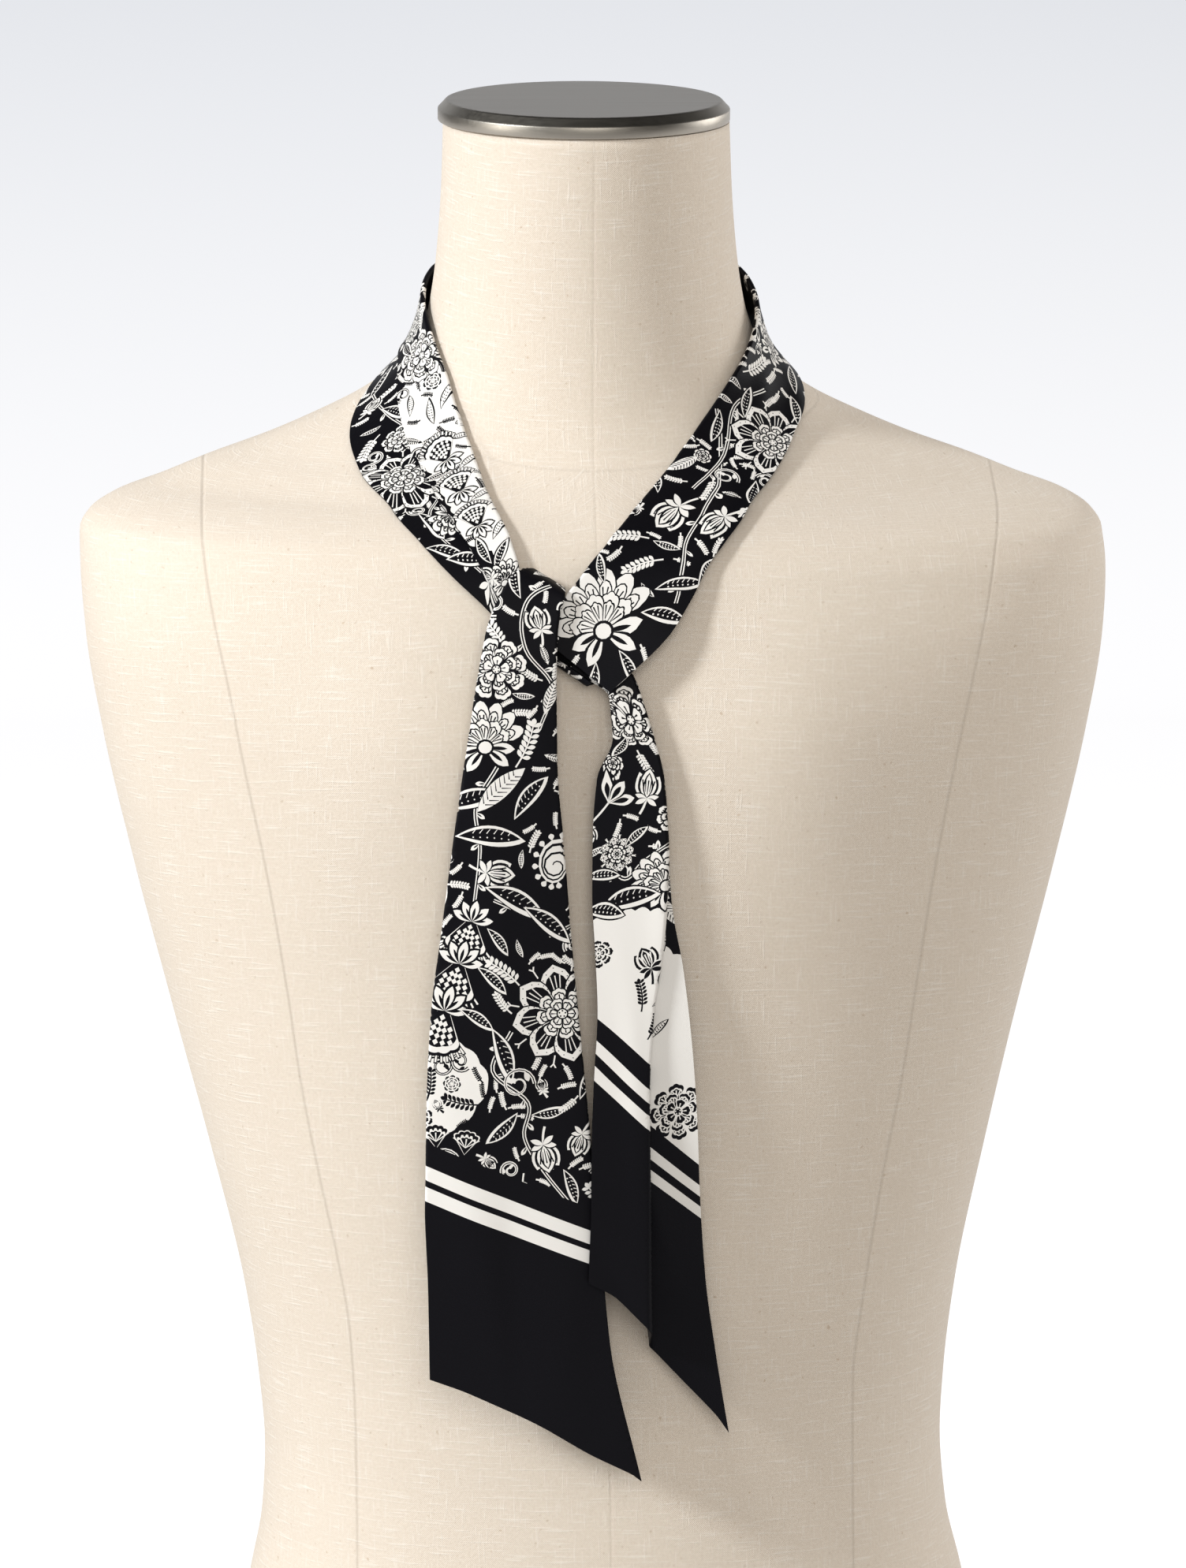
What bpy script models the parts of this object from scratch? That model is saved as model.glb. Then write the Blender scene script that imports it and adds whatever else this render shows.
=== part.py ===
"""Skinny scarf tied in a half knot on a limbless dress form.

X runs across the shoulders, -Y is the front, +Z is up, and the origin lies in the flat base.
The tables are in millimetres and degrees, and everything that is built from them in metres.
"""
import math

import bpy
from mathutils import Vector

MM = 0.001

# Dress form
NECK_TOP = 732.4
BASE_EDGE = 4.0
CAP_SHIFT = 1.0
FORM_SPANS = ((8.0, 470.0, 14), (470.0, 560.0, 7), (560.0, 632.0, 13), (632.0, NECK_TOP, 7))
FORM_SIDES = 48
CHEST_BULGE = 8.0
CHEST_PLACE = (80.0, 480.0, 46.0, 62.0)
BLADE_BULGE = 6.0
BLADE_PLACE = (82.0, 505.0, 42.0, 60.0)
WIDEST = 216.0

# Steel cap on the neck
CAP_RADIUS = 60.8
CAP_BAND = 5.0
CAP_BEVEL = 3.5
CAP_ROUND = 0.5
CAP_SIDES = 48

# Steps used to find a place on the cover and the direction it faces there
PROBE = 0.5
NEAR_ENOUGH = 0.01


class Table:
    """Rows of named columns, read on smooth curves at any value of the first column."""

    def __init__(self, names, rows):
        self.names = names.split()
        self.rows = rows
        self.slopes = [[self.slope(i, c) for c in range(len(self.names))] for i in range(len(rows))]

    def slope(self, i, column):
        """Slope at a row that lets the curve rise and fall only where the rows do."""
        before = self.step(max(i - 1, 0), column)
        after = self.step(min(i, len(self.rows) - 2), column)
        if before * after <= 0.0:
            return 0.0
        return 2.0 * before * after / (before + after)

    def step(self, i, column):
        low, high = self.rows[i], self.rows[i + 1]
        return (high[column] - low[column]) / (high[0] - low[0])

    def at(self, key):
        """The row at a key, as a dictionary by column name."""
        key = min(max(key, self.rows[0][0]), self.rows[-1][0])
        i = 0
        while i < len(self.rows) - 2 and key > self.rows[i + 1][0]:
            i += 1
        low, high = self.rows[i], self.rows[i + 1]
        span = high[0] - low[0]
        t = (key - low[0]) / span
        ease = t * t * (3.0 - 2.0 * t)
        leave = t * (1.0 - t) ** 2 * span
        arrive = t * t * (t - 1.0) * span
        return {
            name: low[c] + (high[c] - low[c]) * ease
            + self.slopes[i][c] * leave + self.slopes[i + 1][c] * arrive
            for c, name in enumerate(self.names)
        }


# Level sections of the cover. A section leans by its tilt, front down.
FORM = Table("height half_width front back middle squareness tilt sideways", (
    (0.0, 166.0, 113.0, 122.0, 0.0, 2.25, 0.0, 6.0),
    (60.0, 163.0, 109.0, 120.0, 0.0, 2.25, 0.0, 6.0),
    (110.0, 153.8, 103.0, 112.0, 0.0, 2.2, 0.0, 5.6),
    (140.0, 147.5, 100.0, 106.0, 0.0, 2.15, 0.0, 4.8),
    (170.0, 145.5, 98.5, 102.0, 0.0, 2.15, 0.0, 4.1),
    (200.0, 147.4, 99.0, 101.0, 0.0, 2.15, 0.0, 3.5),
    (240.0, 152.6, 101.5, 103.0, 0.0, 2.2, 0.0, 2.9),
    (300.0, 165.6, 106.0, 109.0, 0.0, 2.25, 0.0, 1.9),
    (360.0, 180.0, 110.0, 116.0, 0.0, 2.3, 0.0, 0.9),
    (420.0, 194.8, 113.0, 121.0, 0.0, 2.4, 0.0, 0.7),
    (480.0, 208.0, 114.0, 123.5, 0.0, 2.5, 0.0, 0.7),
    (520.0, 214.2, 110.5, 122.0, 0.0, 2.6, 0.0, 0.6),
    (548.0, 215.8, 104.0, 118.0, 0.0, 2.5, 0.0, 0.2),
    (563.0, 215.2, 99.0, 113.0, 0.5, 2.3, 1.0, -0.6),
    (570.0, 211.2, 96.0, 110.0, 1.0, 2.1, 2.0, -0.8),
    (577.0, 200.8, 93.0, 107.0, 1.5, 1.85, 3.2, -1.0),
    (584.0, 182.0, 89.5, 103.0, 2.0, 1.65, 4.8, -1.2),
    (591.0, 164.0, 85.5, 98.5, 2.5, 1.6, 6.6, -1.3),
    (598.0, 142.5, 81.0, 93.0, 3.0, 1.6, 8.6, -1.4),
    (606.0, 121.0, 76.0, 86.5, 3.5, 1.65, 10.6, -1.5),
    (614.0, 102.0, 71.5, 80.0, 4.0, 1.75, 12.0, -1.7),
    (624.0, 86.0, 67.5, 73.5, 4.0, 1.85, 12.4, -1.9),
    (638.0, 73.0, 64.0, 67.0, 3.0, 1.95, 12.0, -2.2),
    (656.0, 66.2, 61.5, 62.0, 1.0, 2.0, 10.4, -2.5),
    (680.0, 62.6, 60.0, 60.0, -2.5, 2.0, 8.4, -2.8),
    (706.0, 60.6, 59.5, 59.5, -6.5, 2.0, 7.0, -3.0),
    (NECK_TOP, 59.6, 59.5, 59.5, -10.0, 2.0, 6.6, -3.2),
))


def swell(x, z, size, place):
    """Soft rise of a pair of mirrored mounds at a place across and up the form."""
    across, up, half_across, half_up = place
    reach = ((abs(x) - across) / half_across) ** 2 + ((z - up) / half_up) ** 2
    return size * math.exp(-reach)


def section_depth(section, x, y):
    """Half depth of a section on the side that y lies on, with its mounds."""
    if y < section["middle"]:
        return section["front"] + swell(x, section["height"], CHEST_BULGE, CHEST_PLACE)
    return section["back"] + swell(x, section["height"], BLADE_BULGE, BLADE_PLACE)


def cover_level(x, y, z):
    """How far out a place is, as a share of the cover's own distance there, less one."""
    height = z
    for _ in range(3):
        section = FORM.at(height)
        height = z - (y - section["middle"]) * math.tan(math.radians(section["tilt"]))
    section = FORM.at(height)
    power = section["squareness"]
    wide = abs(x - section["sideways"]) / section["half_width"]
    deep = abs(y - section["middle"]) / section_depth(section, x, y)
    return (wide ** power + deep ** power) ** (1.0 / power) - 1.0


def cover_gap(point):
    """Distance from the cover to a place near it, and the outward direction there."""
    x, y, z = point
    level = cover_level(x, y, z)
    slope = Vector((
        cover_level(x + PROBE, y, z) - cover_level(x - PROBE, y, z),
        cover_level(x, y + PROBE, z) - cover_level(x, y - PROBE, z),
        cover_level(x, y, z + PROBE) - cover_level(x, y, z - PROBE),
    )) / (2.0 * PROBE)
    return level / slope.length, slope.normalized()


def off_cover(angle, height, lift):
    """Place that stands off the cover by lift, at an angle from the front round the neck."""
    across = math.sin(math.radians(angle))
    along = -math.cos(math.radians(angle))
    near, far = 0.0, 2.0 * WIDEST
    while far - near > NEAR_ENOUGH:
        reach = 0.5 * (near + far)
        if cover_level(reach * across, reach * along, height) < 0.0:
            near = reach
        else:
            far = reach
    place = Vector((near * across, near * along, height))
    return place + cover_gap(place)[1] * lift


# Scarf: a flat sewn tube, its two cloths taken as one wall
SCARF_WIDTH = 76.0
CLOTH_WALL = 1.2
FOLD_RADIUS = 0.8
SEAM_GAP = 0.3
# How far the strip sinks between its edges into the hollow at the foot of the neck
SETTLE = 4.0
# Places taken across a strip, and the longest step along it
ACROSS = 8
LONGEST_STEP = 21.0
# Most of a strip's width that is tucked behind each edge, and the flat end of a tuck
MOST_TUCK = 0.42
EDGE_FLAT = 0.1
# Share of the width over which the direction across a strip is taken
NEARBY = 0.06
SMOOTH_ANGLE = 40.0

# The strip round the neck, from under the knot on one side to over the knot on the other.
# The fold is the edge on the neck, the free edge the one on the shoulders, and upper and
# lower say how much of the width between them each layer of the folded strip covers.
NECK_LOOP = Table(
    "along fold_angle fold_height fold_lift free_angle free_height free_lift upper lower", (
        (0.0, -2.0, 525.0, 3.2, -7.0, 516.5, 3.2, 0.90, 1.00),
        (16.0, -7.2, 532.5, 3.4, -13.0, 525.5, 3.4, 0.85, 1.00),
        (30.0, -16.4, 544.6, 3.4, -20.0, 531.6, 3.4, 0.75, 1.00),
        (44.0, -18.2, 554.0, 3.2, -25.6, 541.6, 3.2, 0.64, 1.00),
        (60.0, -21.2, 564.8, 2.4, -32.0, 553.3, 2.0, 0.57, 1.00),
        (76.0, -26.6, 575.4, 1.4, -38.6, 564.6, 0.7, 0.54, 1.00),
        (92.0, -33.0, 585.2, 1.2, -47.0, 574.4, 0.6, 0.53, 1.00),
        (124.0, -47.2, 607.2, 1.2, -63.0, 589.0, 0.6, 0.52, 1.00),
        (156.0, -61.6, 632.0, 1.4, -78.6, 605.5, 0.6, 0.52, 1.00),
        (190.0, -79.5, 652.5, 1.8, -93.5, 621.3, 0.6, 0.57, 1.00),
        (230.0, -103.0, 668.5, 2.0, -112.0, 632.0, 0.9, 0.66, 1.00),
        (260.0, -122.0, 676.0, 1.6, -126.0, 636.0, 0.8, 0.74, 1.00),
        (302.0, -150.0, 681.0, 1.4, -151.5, 638.8, 0.8, 0.82, 0.98),
        (345.0, -180.0, 683.0, 1.2, -180.0, 640.0, 0.8, 0.90, 0.95),
        (388.0, -210.0, 680.6, 1.4, -208.5, 639.4, 0.8, 0.97, 0.90),
        (430.0, -237.0, 675.5, 2.0, -234.0, 637.5, 0.8, 1.00, 0.85),
        (460.0, -256.0, 667.5, 3.2, -253.0, 632.5, 0.6, 1.00, 0.82),
        (498.0, -279.0, 651.5, 3.8, -275.2, 618.4, 0.6, 1.00, 0.80),
        (530.0, -297.2, 634.8, 2.4, -290.8, 606.0, 0.6, 1.00, 0.80),
        (562.0, -315.6, 616.6, 1.4, -307.4, 590.4, 0.6, 1.00, 0.80),
        (594.0, -333.9, 596.0, 1.4, -323.8, 575.2, 0.6, 1.00, 0.80),
        (626.0, -351.4, 575.6, 2.2, -337.2, 554.6, 1.2, 1.00, 0.80),
        (642.0, -358.4, 563.4, 4.2, -341.9, 540.2, 3.4, 1.00, 0.80),
        (658.0, -364.4, 551.6, 6.4, -346.4, 527.2, 6.2, 1.00, 0.80),
        (674.0, -369.3, 540.6, 7.6, -352.0, 516.8, 7.6, 1.00, 0.80),
        (696.0, -374.4, 528.2, 7.6, -358.8, 505.2, 7.6, 1.00, 0.80),
    ))
BAND_LEFT = (0.0, 258.0)
BAND_BACK = (258.0, 432.0)
BAND_RIGHT = (432.0, 696.0)

# Stretches that hang or turn free of the cover, by the outer face of the cloth: places of the
# left and right edges, how far in front of the axis they lie, and how far the middle bows out.
WRAP = Table("along left_x left_z left_front right_x right_z right_front bow", (
    (0.0, -28.6, 526.6, 119.8, -0.6, 506.4, 123.0, 0.0),
    (4.0, -30.4, 524.6, 118.0, -1.6, 504.4, 120.6, 0.0),
    (8.0, -31.0, 524.0, 115.6, -1.8, 504.2, 117.4, 0.0),
    (12.0, -30.6, 525.4, 112.8, -1.8, 505.6, 114.6, 0.0),
    (20.0, -31.4, 532.4, 110.3, -4.6, 513.4, 112.8, 0.0),
    (32.0, -31.6, 541.4, 107.8, -10.6, 527.6, 110.8, 0.0),
    (44.0, -29.2, 548.6, 105.5, -15.2, 539.4, 107.6, 0.0),
    (48.0, -28.6, 551.0, 105.2, -15.2, 542.4, 107.2, 0.0),
))
TAIL_LEFT = Table("along left_x left_z left_front right_x right_z right_front bow", (
    (0.0, -28.5, 551.7, 105.2, -15.1, 543.2, 107.1, 0.0),
    (4.0, -28.3, 554.2, 105.5, -14.8, 545.6, 107.3, 0.0),
    (8.0, -28.8, 556.0, 108.4, -14.6, 547.4, 111.0, 0.0),
    (13.0, -32.0, 556.4, 112.2, -14.8, 547.2, 116.2, 0.0),
    (17.0, -35.6, 555.2, 114.6, -15.4, 545.2, 120.4, 0.0),
    (28.0, -41.4, 547.0, 119.2, -17.6, 537.6, 122.8, 0.4),
    (40.0, -47.0, 535.0, 122.6, -18.6, 528.0, 124.4, 0.8),
    (60.0, -50.8, 516.5, 124.8, -19.0, 509.0, 125.6, 1.0),
    (90.0, -55.2, 488.5, 125.2, -18.8, 480.0, 125.2, 1.6),
    (130.0, -61.0, 450.5, 124.8, -15.6, 442.0, 123.8, 2.4),
    (170.0, -66.2, 411.5, 124.2, -12.4, 402.0, 122.8, 2.8),
    (210.0, -71.0, 372.5, 123.6, -8.6, 361.0, 121.8, 2.8),
    (250.0, -72.7, 334.0, 123.0, -4.6, 318.0, 121.2, 2.4),
    (290.0, -73.2, 297.0, 122.4, -1.2, 277.0, 120.8, 2.2),
    (325.0, -72.0, 262.0, 122.0, 2.6, 236.0, 120.4, 2.2),
    (362.0, -71.4, 223.6, 121.6, 15.4, 179.4, 119.6, 2.0),
))
# The right end is pleated: crease is the pleat's edge across it, pleat the cloth that runs back
# under, turn how far the cloth turns at the creases and bend the radius of that turn.
TAIL_RIGHT = Table(
    "along left_x left_z left_front right_x right_z right_front crease pleat turn bend", (
        (0.0, -13.4, 516.2, 118.6, -3.4, 524.6, 117.0, 1.00, 7.0, 180.0, 0.8),
        (11.0, -6.0, 510.8, 119.2, 4.0, 519.5, 118.0, 1.00, 7.5, 180.0, 0.8),
        (21.0, 1.7, 504.8, 119.8, 11.4, 513.6, 118.8, 1.00, 8.0, 180.0, 0.8),
        (32.0, 2.6, 496.6, 121.2, 16.4, 500.6, 120.4, 1.00, 11.0, 180.0, 0.8),
        (42.0, 3.3, 487.4, 122.0, 20.4, 487.0, 121.4, 1.00, 13.0, 180.0, 0.8),
        (58.0, -3.0, 471.4, 122.6, 24.2, 468.0, 121.8, 1.00, 16.0, 180.0, 0.8),
        (82.0, -4.8, 447.4, 123.0, 25.8, 444.0, 122.0, 1.00, 17.0, 180.0, 0.8),
        (106.0, -5.0, 424.0, 123.6, 27.6, 419.0, 122.2, 0.93, 17.0, 180.0, 0.8),
        (130.0, -3.9, 401.0, 124.2, 32.2, 393.0, 122.4, 0.76, 15.0, 180.0, 0.8),
        (156.0, -2.9, 376.0, 124.8, 35.6, 365.0, 122.4, 0.60, 14.0, 180.0, 0.8),
        (184.0, -4.3, 349.0, 125.2, 38.2, 333.0, 122.0, 0.54, 12.0, 176.0, 0.9),
        (214.0, -5.3, 320.0, 125.4, 40.2, 297.0, 121.6, 0.53, 10.0, 160.0, 1.3),
        (242.0, -5.5, 294.0, 125.2, 43.4, 261.0, 121.0, 0.51, 9.0, 130.0, 2.2),
        (260.0, -6.0, 278.0, 125.0, 47.8, 230.0, 120.6, 0.48, 8.0, 104.0, 3.0),
        (276.0, -6.6, 264.0, 124.8, 53.2, 196.0, 120.2, 0.45, 8.0, 84.0, 3.6),
    ))


def neck_row(table, along):
    """Inner face of the neck strip at a station, from the fold to the free edge."""
    row = table.at(along)
    fold = off_cover(row["fold_angle"], row["fold_height"], row["fold_lift"])
    free = off_cover(row["free_angle"], row["free_height"], row["free_lift"])
    places = []
    for i in range(ACROSS + 1):
        share = i / ACROSS
        place = fold.lerp(free, share)
        least = row["fold_lift"] + (row["free_lift"] - row["fold_lift"]) * share
        for _ in range(3):
            gap, outward = cover_gap(place)
            place = place + outward * max(least - gap, 0.0)
        gap, outward = cover_gap(place)
        sunk = min(gap - least, SETTLE * 4.0 * share * (1.0 - share))
        places.append(place - outward * sunk)
    return row, places


def hanging_row(table, along):
    """Outer face of a free stretch at a station, from its left to its right edge."""
    row = table.at(along)
    left = Vector((row["left_x"], -row["left_front"], row["left_z"]))
    right = Vector((row["right_x"], -row["right_front"], row["right_z"]))
    places = []
    for i in range(ACROSS + 1):
        share = i / ACROSS
        bow = row.get("bow", 0.0) * 4.0 * share * (1.0 - share)
        places.append(left.lerp(right, share) + Vector((0.0, -bow, 0.0)))
    return row, places


class Walk:
    """Path of the cloth across a section: samples of place, depth, heading and cloth walked."""

    def __init__(self, across, depth, heading):
        self.across, self.depth, self.heading = across, depth, math.radians(heading)
        self.walked = 0.0
        self.samples = [(across, depth, self.heading, 0.0)]

    def go(self, length, turn=0.0, steps=4):
        """Walk a length while turning evenly through an angle, positive toward the depth."""
        for _ in range(steps):
            self.heading += math.radians(turn) / (2 * steps)
            self.across += math.cos(self.heading) * length / steps
            self.depth += math.sin(self.heading) * length / steps
            self.heading += math.radians(turn) / (2 * steps)
            self.walked += length / steps
            self.samples.append((self.across, self.depth, self.heading, self.walked))
        return self


def folded_section(row, width):
    """Strip folded lengthwise: lower layer in from the free edge, fold, upper layer out."""
    half = CLOTH_WALL / 2.0
    edge = FOLD_RADIUS + half
    walk = Walk(row["lower"] * width, half, 180.0)
    walk.go(row["lower"] * width - edge, steps=5)
    walk.go(math.pi * FOLD_RADIUS, -180.0)
    walk.go(row["upper"] * width - edge, steps=5)
    return walk.samples


def plain_section(row, width):
    """Cloth lying flat, its outer face at depth 0."""
    return Walk(0.0, -CLOTH_WALL / 2.0, 0.0).go(width, steps=5).samples


def tucked_section(row, width):
    """Cloth whose spare width is tucked back behind both edges."""
    half = CLOTH_WALL / 2.0
    spare = min((SCARF_WIDTH - width) / 2.0, MOST_TUCK * width)
    turned = min(spare, math.pi * FOLD_RADIUS)
    turn = math.degrees(turned / FOLD_RADIUS)
    edge = (FOLD_RADIUS + half) * math.sin(math.radians(min(turn, 90.0)))
    right = Walk(width - edge, -half, 0.0)
    right.go(turned, -turn).go(spare - turned + EDGE_FLAT, steps=2)
    left = [(width - a, d, math.pi - h, -w) for a, d, h, w in right.samples]
    middle = Walk(edge, -half, 0.0).go(width - 2.0 * edge, steps=7)
    flipped = [(a, d, h + math.pi, w) for a, d, h, w in reversed(left[1:])]
    return flipped + middle.samples + right.samples[1:]


def pleated_section(row, width):
    """Cloth with one pleat: front panel, back under it from the crease, and out again."""
    half = CLOTH_WALL / 2.0
    turn = row["turn"]
    bend = row["bend"]
    walk = Walk(0.0, -half, 0.0)
    walk.go(row["crease"] * width - bend - half, steps=4)
    walk.go(math.radians(turn) * bend, -turn)
    walk.go(row["pleat"], steps=2)
    walk.go(math.radians(turn) * bend, turn)
    walk.go(width - walk.across, steps=4)
    return walk.samples


def between(places, share):
    """Place at a share of the way across a row of places, run on past its ends."""
    step = share * ACROSS
    i = min(max(int(step), 0), ACROSS - 1)
    return places[i] + (places[i + 1] - places[i]) * (step - i)


def outline(samples):
    """Closed outline of the wall along a walk: one face out, the other face back."""
    half = CLOTH_WALL / 2.0
    faces = []
    for side in (-1.0, 1.0):
        face = [(a - side * half * math.sin(h), d + side * half * math.cos(h), w)
                for a, d, h, w in samples]
        faces.append(face)
    return faces[0] + faces[1][::-1]


def stations(table, start, end):
    """Stations at the rows of a table from start to end, with at least one between each two."""
    keys = [start] + [row[0] for row in table.rows if start < row[0] < end] + [end]
    places = [start]
    for low, high in zip(keys, keys[1:]):
        parts = max(2, math.ceil((high - low) / LONGEST_STEP))
        places += [low + (high - low) * (i + 1) / parts for i in range(parts)]
    return places


def strip_rings(table, read_row, section, start, end):
    """Rings of points round the wall of a strip, one ring for each station along it."""
    rows = [read_row(table, along) for along in stations(table, start, end)]
    rings = []
    for k, (row, places) in enumerate(rows):
        before = rows[max(k - 1, 0)][1]
        after = rows[min(k + 1, len(rows) - 1)][1]
        width = sum((b - a).length for a, b in zip(places, places[1:]))
        samples = section(row, width)
        cloth = samples[-1][3] - samples[0][3]
        drop = min(places[-1].z - places[0].z, 0.0) if section is pleated_section else 0.0
        ring = []
        for a, depth, walked in outline(samples):
            share = a / width
            place = between(places, share)
            far_side = between(places, min(share + NEARBY, 1.0))
            across = far_side - between(places, max(share - NEARBY, 0.0))
            onward = between(after, share) - between(before, share)
            normal = onward.cross(across).normalized()
            lowered = drop * (walked / cloth - share)
            ring.append((place + normal * depth + Vector((0.0, 0.0, lowered))) * MM)
        rings.append(ring)
    return rings


def make_object(name, points, faces, material):
    mesh = bpy.data.meshes.new(name)
    mesh.from_pydata([tuple(p) for p in points], [], faces)
    mesh.validate()
    mesh.update()
    mesh.materials.append(material)
    mesh.shade_smooth()
    mesh.set_sharp_from_angle(angle=math.radians(SMOOTH_ANGLE))
    piece = bpy.data.objects.new(name, mesh)
    bpy.context.scene.collection.objects.link(piece)
    return piece


def make_loft(name, rings, material):
    """Closed solid through rings of equally many points, with a flat face at each end."""
    count = len(rings[0])
    points = [point for ring in rings for point in ring]
    faces = [tuple(reversed(range(count)))]
    for r in range(len(rings) - 1):
        low = r * count
        for i in range(count):
            j = (i + 1) % count
            faces.append((low + i, low + j, low + count + j, low + count + i))
    faces.append(tuple(range(len(points) - count, len(points))))
    return make_object(name, points, faces, material)


def make_material(name, colour, roughness, metallic=0.0):
    material = bpy.data.materials.new(name)
    material.use_nodes = True
    shader = material.node_tree.nodes["Principled BSDF"]
    shader.inputs["Base Color"].default_value = (*colour, 1.0)
    shader.inputs["Roughness"].default_value = roughness
    shader.inputs["Metallic"].default_value = metallic
    material.diffuse_color = (*colour, 1.0)
    return material


def cover_ring(height, inset=0.0):
    """Ring of points round the cover at a section's height."""
    section = FORM.at(height)
    power = 2.0 / section["squareness"]
    lean = math.tan(math.radians(section["tilt"]))
    ring = []
    for i in range(FORM_SIDES):
        turn = 2.0 * math.pi * i / FORM_SIDES
        wide, deep = math.cos(turn), math.sin(turn)
        x = math.copysign(abs(wide) ** power, wide) * (section["half_width"] - inset)
        x += section["sideways"]
        side = section["middle"] + math.copysign(1.0, deep)
        depth = section_depth(section, x, side) - inset
        y = math.copysign(abs(deep) ** power, deep) * depth
        z = height + y * lean
        ring.append(Vector((x, y + section["middle"], z)) * MM)
    return ring


def make_form(material):
    """Torso and neck of the dress form, one smooth closed solid on a flat base."""
    rings = [cover_ring(0.0, BASE_EDGE), cover_ring(BASE_EDGE)]
    for low, high, count in FORM_SPANS:
        rings += [cover_ring(low + (high - low) * i / count) for i in range(count)]
    rings.append(cover_ring(NECK_TOP))
    return make_loft("form_body", rings, material)


def make_cap(material):
    """Bevelled steel disc that closes the neck, tilted with it."""
    profile = (
        (CAP_RADIUS - CAP_ROUND, 0.0),
        (CAP_RADIUS, CAP_ROUND),
        (CAP_RADIUS, CAP_BAND - CAP_ROUND),
        (CAP_RADIUS - CAP_ROUND, CAP_BAND),
        (CAP_RADIUS - CAP_BEVEL, CAP_BAND + CAP_BEVEL),
    )
    top = FORM.at(NECK_TOP)
    tilt = math.radians(top["tilt"])
    rings = []
    for reach, rise in profile:
        ring = []
        for i in range(CAP_SIDES):
            turn = 2.0 * math.pi * i / CAP_SIDES
            x, y = reach * math.cos(turn), reach * math.sin(turn)
            up = rise + SEAM_GAP
            ring.append(Vector((
                x + top["sideways"] - CAP_SHIFT,
                y * math.cos(tilt) - up * math.sin(tilt) + top["middle"],
                y * math.sin(tilt) + up * math.cos(tilt) + NECK_TOP,
            )) * MM)
        rings.append(ring)
    return make_loft("neck_cap", rings, material)


def make_neck_strip(name, span, material):
    start, end = span[0] + SEAM_GAP / 2.0, span[1] - SEAM_GAP / 2.0
    rings = strip_rings(NECK_LOOP, neck_row, folded_section, start, end)
    return make_loft(name, rings, material)


def make_hanging_strip(name, table, section, material):
    start, end = table.rows[0][0], table.rows[-1][0]
    rings = strip_rings(table, hanging_row, section, start, end)
    return make_loft(name, rings, material)


def main():
    for old in list(bpy.data.objects):
        bpy.data.objects.remove(old)
    linen = make_material("linen_cover", (0.80, 0.70, 0.57), 0.85)
    steel = make_material("brushed_steel", (0.42, 0.41, 0.39), 0.35, 1.0)
    twill = make_material("printed_twill", (0.02, 0.02, 0.03), 0.5)
    make_form(linen)
    make_cap(steel)
    make_neck_strip("neck_band_left", BAND_LEFT, twill)
    make_neck_strip("neck_band_back", BAND_BACK, twill)
    make_neck_strip("neck_band_right", BAND_RIGHT, twill)
    make_hanging_strip("knot_wrap", WRAP, plain_section, twill)
    make_hanging_strip("tail_left", TAIL_LEFT, tucked_section, twill)
    make_hanging_strip("tail_right", TAIL_RIGHT, pleated_section, twill)


main()
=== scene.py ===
# %% [markdown]
# # A skinny scarf in a half knot, on a dress form
# The fixed CAD part gives the sizes and the places. This script gives it its looks: a finer
# linen cover for the form, and for each stretch of the scarf a thin shell of cloth with a
# printed pattern laid into it. Lengths in the tables are in millimetres, angles in degrees.
# %% Load the fixed part
import math

import bpy
import numpy as np
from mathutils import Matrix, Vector
from mathutils.geometry import delaunay_2d_cdt


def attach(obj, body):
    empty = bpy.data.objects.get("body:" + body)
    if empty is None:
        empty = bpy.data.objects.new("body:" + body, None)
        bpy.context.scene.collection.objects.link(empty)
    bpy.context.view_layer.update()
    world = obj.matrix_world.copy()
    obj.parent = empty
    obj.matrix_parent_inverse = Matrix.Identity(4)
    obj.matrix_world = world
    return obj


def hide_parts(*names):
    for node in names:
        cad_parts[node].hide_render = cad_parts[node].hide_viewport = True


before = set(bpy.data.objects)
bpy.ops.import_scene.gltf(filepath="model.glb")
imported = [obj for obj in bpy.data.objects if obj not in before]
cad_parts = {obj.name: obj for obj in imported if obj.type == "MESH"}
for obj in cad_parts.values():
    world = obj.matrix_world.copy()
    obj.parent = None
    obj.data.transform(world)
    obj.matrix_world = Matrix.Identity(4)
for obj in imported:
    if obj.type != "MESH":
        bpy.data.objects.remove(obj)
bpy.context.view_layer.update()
MM = 0.001
print("CAD nodes:", sorted(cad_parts))

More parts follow.
